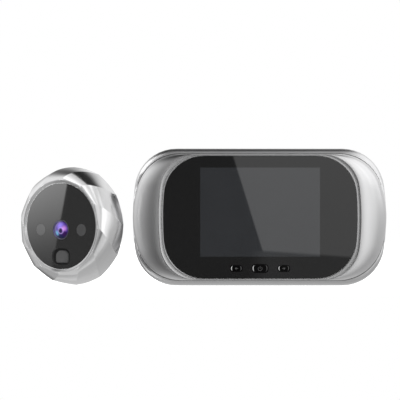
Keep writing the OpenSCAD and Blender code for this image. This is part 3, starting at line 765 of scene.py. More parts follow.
@one_finish
def lens_coating_reflections(tree, shader):
    """Coated front glass with painted reflections: violet above, rose at the right, pale blue
    below left, a pale ring of painted highlight, dark pupil.
    """
    point = outdoor_point(tree, Vector((0, 0, LENS_Z)), LENS_R)
    parts = parts_of(tree, point)
    x, z = parts["X"], parts["Z"]

    def spot(cx, cz, inner, outer):
        return within(tree, distance(tree, minus(tree, x, cx), minus(tree, z, cz)), inner, outer)

    # Painted reflections of the coating: a tone from navy below to violet above, spots of colour,
    # a painted highlight ring round the pupil, darker at the rim.
    reflection_tone = mix_colour(tree, fade(tree, z, -0.75, 0.1), (0.004, 0.004, 0.07), (0.10, 0.045, 0.36))
    ring = times(tree, spot(0.08, -0.08, 0.34, 0.46),
                 within(tree, spot(0.08, -0.08, 0.2, 0.36), 0.0, 1.0))
    painted_reflections = (
        (spot(-0.05, 0.42, 0.1, 0.62), (0.28, 0.19, 0.88)),
        (spot(0.48, 0.12, 0.05, 0.5), (0.58, 0.25, 0.78)),
        (spot(-0.5, -0.38, 0.05, 0.46), (0.16, 0.45, 0.74)),
        (spot(0.58, -0.5, 0.1, 0.55), (0.035, 0.003, 0.09)),
        (times(tree, ring, 0.5), (0.62, 0.42, 0.95)),
        (spot(0.04, -0.08, 0.16, 0.34), (0.008, 0.006, 0.055)),
        (fade(tree, distance(tree, x, z), 0.98, 1.08), (0.03, 0.018, 0.16)),
    )
    for mask, tint in painted_reflections:
        reflection_tone = mix_colour(tree, mask, reflection_tone, tint)
    marks = wiped(tree, point, 2.0, 0.04, 0.09)
    fill(tree, shader, base=reflection_tone, rough=marks["Roughness"], ior=1.5, coat=0.5, coat_rough=0.03)


@one_finish
def board_green(tree, shader):
    """Solder mask with traces and pads."""
    lines = add(tree, "ShaderNodeTexBrick", Vector=object_point(tree, turn=(math.pi / 2, 0, 0)),
                Scale=260.0, Color1=(0.01, 0.09, 0.035), Color2=(0.012, 0.11, 0.04),
                Mortar=(0.03, 0.2, 0.08))
    lines.inputs["Mortar Size"].default_value = 0.03
    pads = add(tree, "ShaderNodeTexVoronoi", Vector=object_point(tree), Scale=420.0)
    spots = within(tree, pads.outputs["Distance"], 0.1, 0.16)
    fill(tree, shader, base=mix_colour(tree, spots, lines.outputs["Color"], (0.62, 0.56, 0.4)),
         rough=fade(tree, spots, 0.0, 1.0, 0.38, 0.25))
    relief(tree, shader, lines.outputs["Fac"], 0.2, 0.00003)


@one_finish
def cell_wrap(tree, shader):
    """Plain battery wrap: dark sleeve with a copper band at one end of each cell."""
    low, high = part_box("battery_cells")
    point = object_point(tree)
    parts = parts_of(tree, point)
    turned = fade(tree, size_of(tree, parts["Z"]), 5.4 * MM, 5.5 * MM)
    from_left = minus(tree, parts["X"], low.x)
    from_right = minus(tree, high.x, parts["X"])
    along = plus(tree, times(tree, from_right, turned),
                 times(tree, from_left, minus(tree, 1.0, turned)))
    band = within(tree, along, 12.0 * MM, 12.1 * MM)
    nub = within(tree, along, 1.4 * MM, 1.5 * MM)
    wrap = mix_colour(tree, band, (0.02, 0.02, 0.022), (0.55, 0.23, 0.09))
    marks = wiped(tree, point, 120.0, 0.22, 0.4)
    fill(tree, shader, base=mix_colour(tree, nub, wrap, grey(0.7)), rough=marks["Roughness"],
         metal=calc(tree, "MAXIMUM", times(tree, band, 0.8), nub))


MADE_FINISHES = {
    "silver_shell": satin_silver,
    "silver_trim": bright_trim,
    "window": disc_black,
    "chrome": gem_chrome,
    "black_cap": piano_black,
    "lens": lens_coating_reflections,
    "ir_cover": infrared_cover,
    "board": board_green,
    "cell": cell_wrap,
}

# Grained finishes: colour, its drift, grain scale, roughness from and to, metal, bump, its depth
GRAINS = {
    "black_plastic": ((0.012, 0.012, 0.013), (0.018, 0.018, 0.019), 3000.0, 0.4, 0.52,
                      0.0, 0.3, 0.00003),
    "tape": (grey(0.008), grey(0.012), 1500.0, 0.8, 0.9, 0.0, 0.2, 0.00002),
    "seal_foam": (grey(0.016), grey(0.03), 1800.0, 0.85, 0.97, 0.0, 0.8, 0.0002),
    "panel": ((0.03, 0.032, 0.035), (0.04, 0.042, 0.045), 700.0, 0.1, 0.16, 0.0, 0.03, 0.00001),
    "backlight": ((0.72, 0.73, 0.72), (0.66, 0.67, 0.67), 600.0, 0.4, 0.5, 0.0, 0.1, 0.00002),
    "chip": ((0.016, 0.016, 0.017), (0.024, 0.024, 0.025), 3600.0, 0.5, 0.6, 0.0, 0.35, 0.00003),
    "socket": ((0.66, 0.62, 0.5), (0.6, 0.56, 0.45), 1800.0, 0.35, 0.45, 0.0, 0.1, 0.00002),
    "steel": ((0.46, 0.46, 0.47), (0.38, 0.38, 0.39), 1400.0, 0.25, 0.38, 1.0, 0.2, 0.00002),
    "bracket_steel": ((0.6, 0.61, 0.63), (0.5, 0.51, 0.53), 900.0, 0.24, 0.4, 1.0, 0.18, 0.00002),
    "spring_wire": ((0.62, 0.62, 0.6), (0.52, 0.52, 0.5), 2200.0, 0.2, 0.3, 1.0, 0.1, 0.00001),
    "ir_led": ((0.05, 0.03, 0.06), (0.06, 0.035, 0.07), 900.0, 0.06, 0.12, 0.0, 0.05, 0.00001),
    "sensor": ((0.08, 0.1, 0.14), (0.14, 0.1, 0.16), 5000.0, 0.08, 0.16, 0.3, 0.1, 0.00001),
}


def plain_finish(slot):
    """Finish of each carried-over solid by its slot in the record."""
    if slot in MADE_FINISHES:
        return MADE_FINISHES[slot]()
    if slot == "call_cap":
        call = tuple(finishes().call)
        values = (call, tinted(call, 0.8), 5200.0, 0.5, 0.62, 0.0, 0.5, 0.00004)
    else:
        values = GRAINS[slot]
    # The bracket's sheet is rolled lengthwise
    stretch = (0.06, 1.0, 1.0) if slot == "bracket_steel" else (1.0, 1.0, 1.0)
    return grained(slot + "_finish", *values, stretch=stretch)


# Pieces


class VIEWER_OT_front_shell(bpy.types.Operator):
    """Front shell: a pillow that swells from the trim to the parting groove"""

    bl_idname = "viewer.front_shell"
    bl_label = "Front shell"

    def execute(self, context):
        outside = [90 * i / 32 for i in range(33)]
        inside = range(75, -1, -15)
        inner = inset(PARTING, WALL)
        ledge, ledge_top = inset(SEAT, LEDGE_WIDTH), Y_WALL - LEDGE_THICK
        rings = swell(TRIM, PARTING, Y_PLATEAU, Y_PARTING - GROOVE, outside)
        rings.append(outline_ring(inset(PARTING, GROOVE), Y_PARTING))
        rings.append(outline_ring(inner, Y_PARTING))
        rings += swell(inset(TRIM, WALL), inner, Y_WALL, Y_PARTING, inside)
        for shape, y in ((ledge, Y_WALL), (ledge, ledge_top), (SEAT, ledge_top),
                         (SEAT, Y_PLATEAU)):
            rings.append(outline_ring(shape, y))
        shell = loft("front_shell_body", rings)
        dress(shell, "monitor", "silver_shell", satin_silver(), "front_shell")
        return {"FINISHED"}


class VIEWER_OT_window_trim(bpy.types.Operator):
    """Trim: a shallow cove between two fine edges, round the window"""

    bl_idname = "viewer.window_trim"
    bl_label = "Window trim"

    def execute(self, context):
        # Share of the way from the trim's outer outline to the window's seat, and depth
        edge, width, sink, lean, steps = 0.07, 0.88, 0.25, 0.68, 12
        profile = [(0.0, 1.3), (0.0, 0.3), (0.012, 0.12), (0.035, 0.03), (edge, 0.0)]
        for i in range(1, steps + 1):
            t = i / steps
            profile.append((edge + width * t, sink * (t - lean * t * t)))
        profile += [(0.98, 0.11), (0.995, 0.18), (1.0, 0.3), (1.0, 1.3)]
        rings = [outline_ring(blend(TRIM, SEAT, t), Y_TRIM + depth) for t, depth in profile]
        trim = loft("window_trim_bead", rings)
        dress(trim, "monitor", "silver_trim", bright_trim(), "window_trim", smooth=50)
        return {"FINISHED"}


class VIEWER_OT_window(bpy.types.Operator):
    """Window plate with a softened front rim and crisp button openings"""

    bl_idname = "viewer.window"
    bl_label = "Window"

    def execute(self, context):
        plate = merged_copy("display_window", "window_plate")
        bpy.ops.object.mode_set(mode="EDIT")
        bpy.ops.mesh.select_mode(type="EDGE")
        edit = bmesh.from_edit_mesh(plate.data)
        front = Y_WINDOW * MM + 1e-6
        aside = OPENINGS_ASIDE * MM
        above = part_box("display_window")[1].z - OPENINGS_INSIDE * MM
        for e in edit.edges:
            inner = all(abs(v.co.x) < aside and abs(v.co.z) < above for v in e.verts)
            sharp = e.calc_face_angle(0) > math.radians(60)
            e.select_set(sharp and not inner and all(v.co.y < front for v in e.verts))
        if not any(e.select for e in edit.edges):
            raise RuntimeError("The window has no rim to bevel")
        bmesh.update_edit_mesh(plate.data)
        bpy.ops.mesh.bevel(offset=WINDOW_BEVEL * MM, segments=2, affect="EDGES")
        bpy.ops.object.mode_set(mode="OBJECT")
        dress(plate, "monitor", "window", window_black(), "display_window", smooth=20)
        return {"FINISHED"}


class VIEWER_OT_buttons(bpy.types.Operator):
    """Three front buttons: glossy caps with bevelled ends, each with its icon"""

    bl_idname = "viewer.buttons"
    bl_label = "Front buttons"

    def execute(self, context):
        icon = finishes().icon
        ink = grained("icon_print", tuple(icon), tinted(icon, 0.9), 4000.0, 0.5, 0.6, bump=0.1)
        for body in ("left_button", "power_button", "right_button"):
            name = body + "_cap"
            low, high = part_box(name)
            x, z = (low.x + high.x) / 2 / MM, (low.z + high.z) / 2 / MM
            cap = loft(name + "_moulding", self.cap_rings(low, high, x, z), "filled")
            dress(cap, body, "black_cap", piano_black(), name, smooth=40)
            make = power_icon if body == "power_button" else arrow_icon
            dress(make(body, x, z, low.y / MM), body, "black_cap", ink)
        return {"FINISHED"}

    def cap_rings(self, low, high, x, z):
        """Flange, sides and front of a cap, whose long ends are bevelled."""
        wide, tall = CAP_FLANGE
        w = (high.x - low.x) / MM - wide
        h = (high.z - low.z) / MM - tall
        top, back = low.y / MM, high.y / MM
        end, edge = sizes().cap_end / MM, sizes().cap_edge / MM
        r = h * 0.42
        flange, sides = pill(x, z, w + wide, h + tall, r), pill(x, z, w, h, r)
        rings = [at_depth(flange, back), at_depth(flange, back - CAP_STEP),
                 at_depth(sides, back - CAP_STEP), at_depth(sides, top + CAP_RISE)]
        # Share of the bevel's width, and how deep it still is there
        for t, sunk in ((0.04, 0.86), (0.1, 0.78), (0.84, 0.12), (0.92, 0.05), (1.0, 0.0)):
            dx, dz = end * t, edge * t
            corner = max(r - dz - 0.2 * dx, 0.3)
            front = pill(x, z, w - 2 * dx, h - 2 * dz, corner)
            rings.append(at_depth(front, top + CAP_RISE * sunk))
        face = pill(x, z, w - 2 * end - 0.2, h - 2 * edge - 0.2, corner)
        return rings + [at_depth(face, top)]


def arrow_icon(body, x, z, top):
    """Flat arrowhead with a short tail, raised a little from its cap."""
    way = -1 if body == "left_button" else 1
    half = sizes().icon_line / MM * 0.8
    tip, neck, barb = 0.75, -0.05, 0.62
    shape = [(tip, 0), (neck, barb), (neck, half), (-tip, half), (-tip, -half), (neck, -half),
             (neck, -barb)]
    points = [(x + way * px, z + pz) for px, pz in shape]
    rings = [at_depth(points, top + ICON_RISE), at_depth(points, top - ICON_RISE)]
    return loft(body + "_icon", rings, "filled")


def power_icon(body, x, z, top):
    """Open ring with a stroke at its gap."""
    line = sizes().icon_line / MM
    r = sizes().icon_height / MM / 2 - line / 2
    gap = math.radians(35)
    middle = z - 0.1
    clear_selection()
    bpy.ops.mesh.primitive_plane_add(size=1.0, location=(0, 0, 0))
    ring = bpy.context.object
    ring.name = body + "_icon"
    for v, (a, b) in zip(ring.data.vertices, ((-1, -1), (1, -1), (-1, 1), (1, 1))):
        reach = r + a * line / 2
        v.co = Vector((x + reach * math.sin(gap), top + b * ICON_RISE,
                       middle + reach * math.cos(gap))) * MM
    bpy.ops.object.mode_set(mode="EDIT")
    bpy.ops.mesh.select_all(action="SELECT")
    bpy.ops.mesh.spin(steps=36, angle=2 * gap - 2 * math.pi,
                      center=Vector((x, 0, middle)) * MM, axis=(0, 1, 0))
    bpy.ops.mesh.select_all(action="SELECT")
    bpy.ops.mesh.normals_make_consistent(inside=False)
    bpy.ops.mesh.select_all(action="DESELECT")
    bpy.ops.mesh.primitive_cube_add(size=1.0, location=Vector((x, top, z + 0.45)) * MM,
                                    scale=Vector((line * 1.5, 2 * ICON_RISE, 1.3)) * MM)
    bpy.ops.mesh.bevel(offset=line * 0.2 * MM, segments=2, affect="EDGES")
    bpy.ops.object.mode_set(mode="OBJECT")
    return ring


class VIEWER_OT_gem_housing(bpy.types.Operator):
    """Gem-cut housing: twelve facets that twist and swell from the rim to the widest ring"""

    bl_idname = "viewer.gem_housing"
    bl_label = "Gem housing"

    def execute(self, context):
        rings = self.flank_rings() + self.back_rings() + self.inside_rings()
        housing = loft("gem_housing", rings, "joined", OUTDOOR)
        self.round_ridges(housing)
        dress(housing, "door_set", "chrome", gem_chrome(), "camera_housing", smooth=24)
        bezel = loft("disc_bezel", self.bezel_rings(), "joined", OUTDOOR)
        dress(bezel, "door_set", "silver_trim", bright_trim(), "camera_trim_ring", smooth=40)
        return {"FINISHED"}

    def flank_rings(self, steps=32):
        """From the rim to the widest ring, along a squared quarter turn."""
        first = math.radians(GEM_FROM)
        rim_bow, wide_bow = GEM_BOW
        rings = []
        for i in range(steps + 1):
            t = i / steps
            u = first + (math.pi / 2 - first) * t
            narrow = (1 - math.sin(u) ** GEM_POWER) / (1 - math.sin(first) ** GEM_POWER)
            y = -GEM_FRONT * (max(math.cos(u), 0.0) / math.cos(first)) ** GEM_POWER
            rings.append(gem_ring(GEM_WIDEST + (GEM_RIM - GEM_WIDEST) * narrow, y,
                                  GEM_TURN + GEM_TWIST * (1 - t),
                                  rim_bow + (wide_bow - rim_bow) * t))
        return rings

    def back_rings(self, steps=4):
        """From the widest ring in to the door."""
        return [gem_ring(GEM_WIDEST + (GEM_BASE - GEM_WIDEST) * i / steps, GEM_BACK * i / steps,
                         GEM_TURN, GEM_BOW[1]) for i in range(1, steps + 1)]

    def inside_rings(self):
        """Bore of the back plate, inner room, opening behind the window, its seat, the bezel's."""
        profile = [(21.69, GEM_BACK), (21.69, -3.0), (20.4, -3.0), (20.4, -8.3), (19.2, -8.3),
                   (19.2, -10.3), (20.85, -10.3), (20.85, DISC_FRONT), (21.7, DISC_FRONT),
                   (21.7, -GEM_FRONT)]
        return [round_ring(r, y, GEM_TURN + GEM_TWIST * min(max(-y / GEM_FRONT, 0.0), 1.0))
                for r, y in profile]

    def bezel_rings(self):
        """Slope up from the disc, a rounded crest, and the foot in the housing."""
        inner, foot, outer = 20.9, 21.6, 22.2
        lip, rise = 0.12, 0.78
        crest_r, crest_y = 21.98, -12.6
        slope = [(inner + i / 4, DISC_FRONT - lip - rise * i / 4) for i in range(5)]
        turns = [0.1 + 0.25 * i for i in range(7)]
        crest = [(crest_r + 0.2 * math.sin(a), crest_y - 0.25 * math.cos(a)) for a in turns]
        base = [(outer, -GEM_FRONT), (foot, -GEM_FRONT), (foot, DISC_FRONT), (inner, DISC_FRONT)]
        return [round_ring(r, y, count=144) for r, y in slope + crest + base]

    def round_ridges(self, housing):
        """Rounds the ridges between the facets and keeps them crisp at both sides."""
        pick(housing)
        bpy.ops.object.mode_set(mode="EDIT")
        bpy.ops.mesh.select_mode(type="EDGE")
        bpy.ops.mesh.select_all(action="DESELECT")
        self.select_ridges(housing)
        bpy.ops.mesh.bevel(offset=sizes().ridge, segments=2, affect="EDGES", profile=0.5)
        bpy.ops.mesh.region_to_loop()
        bpy.ops.mesh.mark_sharp()
        bpy.ops.object.mode_set(mode="OBJECT")

    def on_ridge(self, p):
        """True where a facet's corner passes, by its angle at that depth."""
        turn = GEM_TURN
        if p.y < 0:
            rise = min((-p.y / GEM_FRONT) ** (1 / GEM_POWER), 1.0)
            u = math.degrees(math.acos(rise * math.cos(math.radians(GEM_FROM))))
            turn += GEM_TWIST * (90 - u) / (90 - GEM_FROM)
        away = (math.degrees(math.atan2(p.z, p.x)) - turn) % FACET
        return min(away, FACET - away) < RIDGE_REACH

    def select_ridges(self, housing):
        """Selects the edges between two facets, from the rim to the back."""
        into = OUTDOOR.inverted()
        edit = bmesh.from_edit_mesh(housing.data)
        for e in edit.edges:
            a, b = (into @ (v.co / MM) for v in e.verts)
            outer = min(math.hypot(a.x, a.z), math.hypot(b.x, b.z)) > RIDGE_OUTSIDE
            along = abs(a.y - b.y) > 1e-3 and len(e.link_faces) == 2
            if outer and along and self.on_ridge(a) and self.on_ridge(b):
                e.select_set(True)
        if not any(e.select for e in edit.edges):
            raise RuntimeError("The housing has no ridges to round")
        bmesh.update_edit_mesh(housing.data)


class VIEWER_OT_lens(bpy.types.Operator):
    """Lens: a domed coated front glass in a turned bezel"""

    bl_idname = "viewer.lens"
    bl_label = "Lens"

    def execute(self, context):
        place = OUTDOOR @ Matrix.Translation(Vector((0, 0, LENS_Z)))
        shoulder = DISC_FRONT + LENS_SHOULDER
        ball = LENS_R / math.sin(LENS_ARC)
        rings = [round_ring(LENS_R, DISC_FRONT + LENS_FOOT), round_ring(LENS_R, shoulder)]
        for i in range(1, 16):
            a = LENS_ARC * (1 - i / 16)
            rise = ball * LENS_FLATTENED * (math.cos(a) - math.cos(LENS_ARC))
            rings.append(round_ring(ball * math.sin(a), shoulder - rise))
        glass = loft("lens_dome", rings, "filled", place)
        dress(glass, "door_set", "lens", lens_coating_reflections(), "lens_glass", smooth=40)
        # Radius and depth of the turned bezel
        front = DISC_FRONT - 0.2
        profile = [(4.31, 0.55), (4.34, 0.1), (4.4, -0.1), (4.46, -0.17), (4.54, -0.17),
                   (4.6, -0.1), (4.62, 0.1), (4.62, 0.55)]
        rings = [round_ring(r, front + y, count=96) for r, y in profile]
        bezel = loft("lens_bezel", rings, "joined", place)
        dark = grained("gunmetal", (0.2, 0.17, 0.42), (0.18, 0.155, 0.38), 3000.0, 0.16, 0.22,
                       metal=1.0, bump=0.03)
        dress(bezel, "door_set", "black_plastic", dark, smooth=50)
        return {"FINISHED"}


class VIEWER_OT_call_button(bpy.types.Operator):
    """Call button: grained cap with an arched top and a softened edge, and a near-black matt skirt
    in its well, whose dark gives the well painted shade
    """

    bl_idname = "viewer.call_button"
    bl_label = "Call button"

    def execute(self, context):
        front, soft = DISC_FRONT + CALL_FRONT, CALL_SOFT
        rings = [self.arch(0.0, DISC_FRONT + CALL_FOOT), self.arch(0.0, front + soft)]
        for i in range(1, 6):
            u = math.radians(18 * i)
            rings.append(self.arch(soft * (1 - math.cos(u)), front + soft * (1 - math.sin(u))))
        cap = loft("call_button_cap", rings, "filled", OUTDOOR)
        dress(cap, "call_button", "call_cap", plain_finish("call_cap"), "doorbell_button",
              smooth=40)
        # The skirt, a flat slab behind the cap, is near-black and matt, so the well round the cap
        # shows as painted shade.
        flange = pill(0, CALL_Z, *SKIRT_SIZE, SKIRT_RADIUS)
        rings = [at_depth(flange, DISC_FRONT + y) for y in SKIRT_DEPTHS]
        skirt = loft("call_button_skirt", rings, "filled", OUTDOOR)
        dress(skirt, "call_button", "black_plastic", plain_finish("tape"))
        return {"FINISHED"}

    def arch(self, shrink, y):
        """Ring of the cap, drawn in by so much at a depth."""
        w, h = inset(CALL_SIZE, 2 * shrink)
        top, bottom = (max(r - shrink, 0.2) for r in CALL_RADII)
        return at_depth(pill(0, CALL_Z, w, h, top, bottom), y)


class VIEWER_OT_carried_parts(bpy.types.Operator):
    """Finishes and smooth shading for every solid that is shown as it is"""

    bl_idname = "viewer.carried_parts"
    bl_label = "Carried-over parts"

    def execute(self, context):
        for solid in NODES.values():
            slot = solid.material_slots[0].material.name.split(".")[0]
            solid.material_slots[0].material = plain_finish(slot)
            if solid.hide_render:
                continue
            solid.data.polygons.foreach_set("use_smooth", [True] * len(solid.data.polygons))
            weld = solid.modifiers.new("weld", "WELD")
            weld.merge_threshold = WELD
            split = solid.modifiers.new("crease", "EDGE_SPLIT")
            split.split_angle = math.radians(28)
        return {"FINISHED"}


# Stage

SENSOR = 36.0
EYE = (-28.7, -10.0, 8.2)  # the camera looks along y at this point, in mm
FLOOR_SIZE = (2.4, 1.3, 1.0)
FLOOR_BACK = 0.52
FLOOR_GLOW = 0.88

GEM_PIECES = ("gem_housing", "disc_bezel")
REAR_SHELL = ("rear_shell",)
SHELLS = ("front_shell_body",) + REAR_SHELL
CAPS = tuple(side + "_button_cap_moulding" for side in ("left", "power", "right"))

# Lamps: name, place and size in metres, watts, and the only pieces that they light, if not all
LAMPS = (
    ("key_softbox", (-0.55, -0.75, 0.85), 0.9, 9.0, ()),
    ("fill_softbox", (0.8, -0.6, 0.6), 0.9, 4.0, ()),
    ("gem_softbox", (-0.33, -0.85, 0.2), 0.65, 0.65, GEM_PIECES),
    ("gem_top_box", (-0.43, -0.45, 0.69), 0.8, 1.4, GEM_PIECES),
    ("gem_right_box", (0.03, -0.6, 0.75), 0.55, 0.45, GEM_PIECES),
    ("gem_side_box", (0.72, -0.6, 0.2), 0.6, 0.12, GEM_PIECES),
    ("gem_front_low", (0.05, -0.95, -0.42), 0.6, 0.35, GEM_PIECES),
    ("gem_low_box", (-0.65, -0.54, -0.47), 0.95, 0.8, GEM_PIECES),
    ("gem_bounce", (-0.65, 0.09, -0.68), 1.0, 0.4, GEM_PIECES),
    ("side_softbox", (0.78, -0.28, 0.62), 1.2, 2.0, SHELLS),
    ("lip_softbox", (-0.52, -0.264, 0.3), 0.65, 1.5, REAR_SHELL),
    ("lip_low_box", (-0.52, -0.264, -0.3), 0.65, 0.8, REAR_SHELL),
    ("glint_softbox", (-0.5, -0.12, 0.06), 1.1, 12.0, CAPS),
)
LAMP_AIM = (-0.028, 0.0, 0.0)

# Walls of the studio: angle from the camera's axis and level
RIGHT_WALL = ((0, 0.9), (25, 0.82), (45, 0.62), (65, 0.44), (85, 0.47), (110, 0.5), (180, 0.6))
LEFT_WALL = ((0, 0.0), (22, 0.05), (37, 0.17), (52, 0.33), (82, 0.58), (112, 0.74), (135, 0.6),
             (160, 0.2), (180, 0.1))
CEILING = ((0, 0.32), (38, 0.26), (60, 0.14), (85, 0.02), (108, 0.02), (130, 0.3), (155, 0.8),
           (180, 0.9))
GROUND = ((0, 0.3), (20, 0.35), (60, 0.45), (93, 0.5), (120, 0.58), (180, 0.62))

# Edges of the two cards: where they lie at nought, and how far they lean for each degree
CARD_EDGE = (1.098, 0.311)
CARD_FOOT = (-1.094, 0.0688)
STRIP_EDGE = (71.18, 0.183)
# Where the cards give way to the walls, in degrees
CARD_ZONE = (6.5, 11.0)
STRIP_HEIGHT = (3.2, 4.5)
STRIP_NEAR, STRIP_FAR = (62.0, 64.0), (74.0, 77.0)


class VIEWER_OT_stage(bpy.types.Operator):
    """Camera, pale floor, white background and even studio light"""

    bl_idname = "viewer.stage"
    bl_label = "Stage"

    def execute(self, context):
        scene = context.scene
        scene.view_settings.view_transform = "Standard"
        self.camera(scene)
        self.floor(scene)
        self.studio(scene)
        # The two units don't mirror each other, as if shot apart
        for thing in scene.objects:
            if thing.type == "MESH":
                left = min((thing.matrix_world @ Vector(c)).x for c in thing.bound_box)
                if left < OUTDOOR_EDGE * MM:
                    thing.visible_glossy = False
        for lamp in LAMPS:
            self.lamp(scene, *lamp)
        return {"FINISHED"}

    def camera(self, scene):
        s = scene.viewer_stage
        data = bpy.data.cameras.new("camera")
        data.lens = s.lens
        data.sensor_width = SENSOR
        data.clip_end = 20.0
        x, y, z = EYE
        eye = bpy.data.objects.new("camera", data)
        eye.location = (x * MM, y * MM - s.width * s.lens / SENSOR, z * MM)
        eye.rotation_euler = (math.pi / 2, 0, 0)
        scene.collection.objects.link(eye)
        scene.camera = eye

    def floor(self, scene):
        clear_selection()
        bpy.ops.mesh.primitive_plane_add(size=1.0, location=(0, 0, 0))
        floor = bpy.context.object
        floor.name = "floor"
        bpy.ops.object.mode_set(mode="EDIT")
        bpy.ops.transform.resize(value=FLOOR_SIZE)
        bpy.ops.transform.translate(value=(0, FLOOR_BACK, CAD_BOX[0].z))
        bpy.ops.object.mode_set(mode="OBJECT")
        tint = scene.viewer_stage.floor
        floor.data.materials.append(finish_named("floor_white", self.paint_floor, tuple(tint)))
        floor.visible_glossy = False
        floor.visible_shadow = False

    def paint_floor(self, tree, shader, tint):
        """Pale and matt, with a glow that only the camera sees."""
        grain = use_group(tree, fine_grain(), Vector=object_point(tree), Colour=tint,
                          Drift=tinted(tint, 0.99), Scale=300.0, Low=0.8, High=0.9)
        fill(tree, shader, base=grain["Colour"], rough=grain["Roughness"])
        shader.inputs["Specular IOR Level"].default_value = 0.0
        glow = add(tree, "ShaderNodeEmission", Strength=times(tree, self.seen(tree), FLOOR_GLOW))
        both = tree.nodes.new("ShaderNodeAddShader")
        put(tree, both.inputs[0], shader.outputs[0])
        put(tree, both.inputs[1], glow.outputs[0])
        put(tree, tree.nodes["Material Output"].inputs["Surface"], both.outputs[0])

    def seen(self, tree):
        """One for what the camera sees, also through glass."""
        path = tree.nodes.new("ShaderNodeLightPath").outputs
        return calc(tree, "MAXIMUM", path["Is Camera Ray"], path["Is Transmission Ray"])

    def studio(self, scene):
        """White for the camera. Polished surfaces see a studio, laid out by the angle from the
        camera's axis and the turn round it: four walls and two sharp-edged cards."""
        world = bpy.data.worlds.new("studio")
        scene.world = world
        world.use_nodes = True
        tree = world.node_tree
        way = parts_of(tree, tree.nodes.new("ShaderNodeTexCoord").outputs["Generated"])
        ahead = times(tree, way["Y"], -1.0)
        across = calc(tree, "MAXIMUM", distance(tree, way["X"], way["Z"]), 1e-4)
        aside = calc(tree, "DIVIDE", way["X"], across)
        upward = calc(tree, "DIVIDE", way["Z"], across)
        off = calc(tree, "DEGREES", calc(tree, "ARCCOSINE", ahead))
        az = calc(tree, "DEGREES", calc(tree, "ARCTAN2", way["X"], ahead))
        el = calc(tree, "DEGREES", calc(tree, "ARCSINE", way["Z"]))
        level = self.walls(tree, aside, upward, off)
        card = self.front_card(tree, az, el)
        level = blend_values(tree, within(tree, off, *CARD_ZONE), level, card)
        zone, strip = self.left_strip(tree, times(tree, az, -1.0), el)
        level = blend_values(tree, zone, level, strip)
        back = tree.nodes["Background"]
        put(tree, back.inputs["Strength"], blend_values(tree, self.seen(tree), level, 1.0))
        back.inputs["Color"].default_value = (1, 1, 1, 1)

    def walls(self, tree, aside, upward, off):
        """A large box at the right, a dim left side, a dark ceiling and a plain ground."""
        right = times(tree, fade(tree, upward, -0.5, 0.6, 0.95, 1.75),
                      level_along(tree, off, RIGHT_WALL))
        side = times(tree, fade(tree, upward, -0.62, 0.1, 0.35, 1.02),
                     fade(tree, upward, 0.45, 0.9, 1.0, 0.4))
        left = plus(tree, times(tree, side, level_along(tree, off, LEFT_WALL)),
                    fade(tree, upward, -0.1, 0.75, 0.04, 0.38))
        above = times(tree, level_along(tree, off, CEILING),
                      fade(tree, aside, -0.3, 0.3, 0.35, 1.4))
        below = level_along(tree, off, GROUND)
        overhead = minus(tree, upward, times(tree, calc(tree, "MAXIMUM", aside, 0.0), 0.3))
        level = blend_values(tree, fade(tree, aside, -0.1, 0.25), left, right)
        level = blend_values(tree, fade(tree, overhead, 0.66, 0.93), level, above)
        return blend_values(tree, fade(tree, upward, -0.75, -0.95), level, below)

    def past(self, tree, angle, line, lean, soft):
        """How far an angle lies past a slanted edge, as nought or one with a soft step."""
        at, slope = line
        beyond = minus(tree, angle, minus(tree, at, times(tree, lean, slope)))
        return fade(tree, beyond, -soft, soft)

    def front_card(self, tree, az, el):
        """Card at the front right, whose slanted edge shows in the window."""
        raised = self.past(tree, el, CARD_FOOT, az, 0.04)
        card = times(tree, self.past(tree, az, CARD_EDGE, el, 0.02), raised)
        under = times(tree, minus(tree, 1.0, raised), fade(tree, az, 1.1, 1.65, 0.0, 0.2))
        return blend_values(tree, card, plus(tree, 0.09, under),
                            fade(tree, el, -1.2, 1.6, 0.88, 0.97))

    def left_strip(self, tree, turned, el):
        """Strip at the left, whose slanted edge crosses the round disc: its zone and its level."""
        glow = times(tree, fade(tree, el, -1.75, 1.35, 0.44, 4.2),
                     fade(tree, turned, 71.0, 72.6, 0.7, 1.0))
        strip = blend_values(tree, self.past(tree, turned, STRIP_EDGE, el, 0.02), 0.12, glow)
        sideways = times(tree, fade(tree, turned, *STRIP_NEAR), within(tree, turned, *STRIP_FAR))
        return times(tree, within(tree, size_of(tree, el), *STRIP_HEIGHT), sideways), strip

    def lamp(self, scene, name, spot, size, power, lit):
        """Square lamp. With a list of pieces it lights only them, and they mirror it."""
        data = bpy.data.lights.new(name, "AREA")
        data.energy = power
        data.shape = "SQUARE"
        data.size = size
        lamp = bpy.data.objects.new(name, data)
        lamp.location = spot
        lamp.rotation_euler = (Vector(spot) - Vector(LAMP_AIM)).to_track_quat("Z", "Y").to_euler()
        lamp.visible_glossy = bool(lit)
        scene.collection.objects.link(lamp)
        if lit:
            group = bpy.data.collections.new(name + "_lit")
            for piece in lit:
                group.objects.link(NODES.get(piece) or bpy.data.objects[piece])
            lamp.light_linking.receiver_collection = group


STEPS = (
    VIEWER_OT_front_shell,
    VIEWER_OT_window_trim,
    VIEWER_OT_window,
    VIEWER_OT_buttons,
    VIEWER_OT_gem_housing,
    VIEWER_OT_lens,
    VIEWER_OT_call_button,
    VIEWER_OT_carried_parts,
    VIEWER_OT_stage,
)


class VIEWER_PT_panel(bpy.types.Panel):
    """Sidebar list of the settings and the steps"""

    bl_idname = "VIEWER_PT_panel"
    bl_label = "Door viewer"
    bl_space_type = "VIEW_3D"
    bl_region_type = "UI"
    bl_category = "Door viewer"

    def draw(self, context):
        layout = self.layout
        scene = context.scene
        for group in (scene.viewer_finishes, scene.viewer_sizes, scene.viewer_stage):
            box = layout.box()
            for key in group.__annotations__:
                box.prop(group, key)
        for step in STEPS:
            layout.operator(step.bl_idname, text=step.bl_label)


CLASSES = (ViewerFinishes, ViewerSizes, ViewerStage) + STEPS + (VIEWER_PT_panel,)


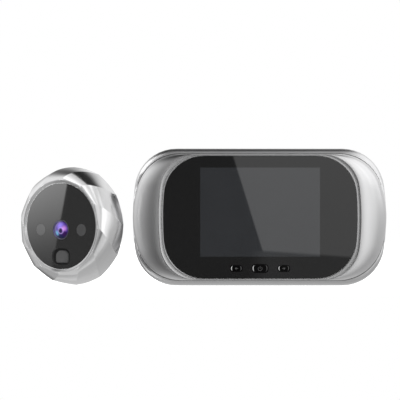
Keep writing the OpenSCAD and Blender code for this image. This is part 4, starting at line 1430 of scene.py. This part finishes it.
def register():
    for kind in CLASSES:
        bpy.utils.register_class(kind)
    bpy.types.Scene.viewer_finishes = bpy.props.PointerProperty(type=ViewerFinishes)
    bpy.types.Scene.viewer_sizes = bpy.props.PointerProperty(type=ViewerSizes)
    bpy.types.Scene.viewer_stage = bpy.props.PointerProperty(type=ViewerStage)


def unregister():
    del bpy.types.Scene.viewer_stage
    del bpy.types.Scene.viewer_sizes
    del bpy.types.Scene.viewer_finishes
    for kind in reversed(CLASSES):
        bpy.utils.unregister_class(kind)


def main():
    register()
    for step in STEPS:
        group, name = step.bl_idname.split(".")
        getattr(getattr(bpy.ops, group), name)()


if __name__ == "__main__":
    main()
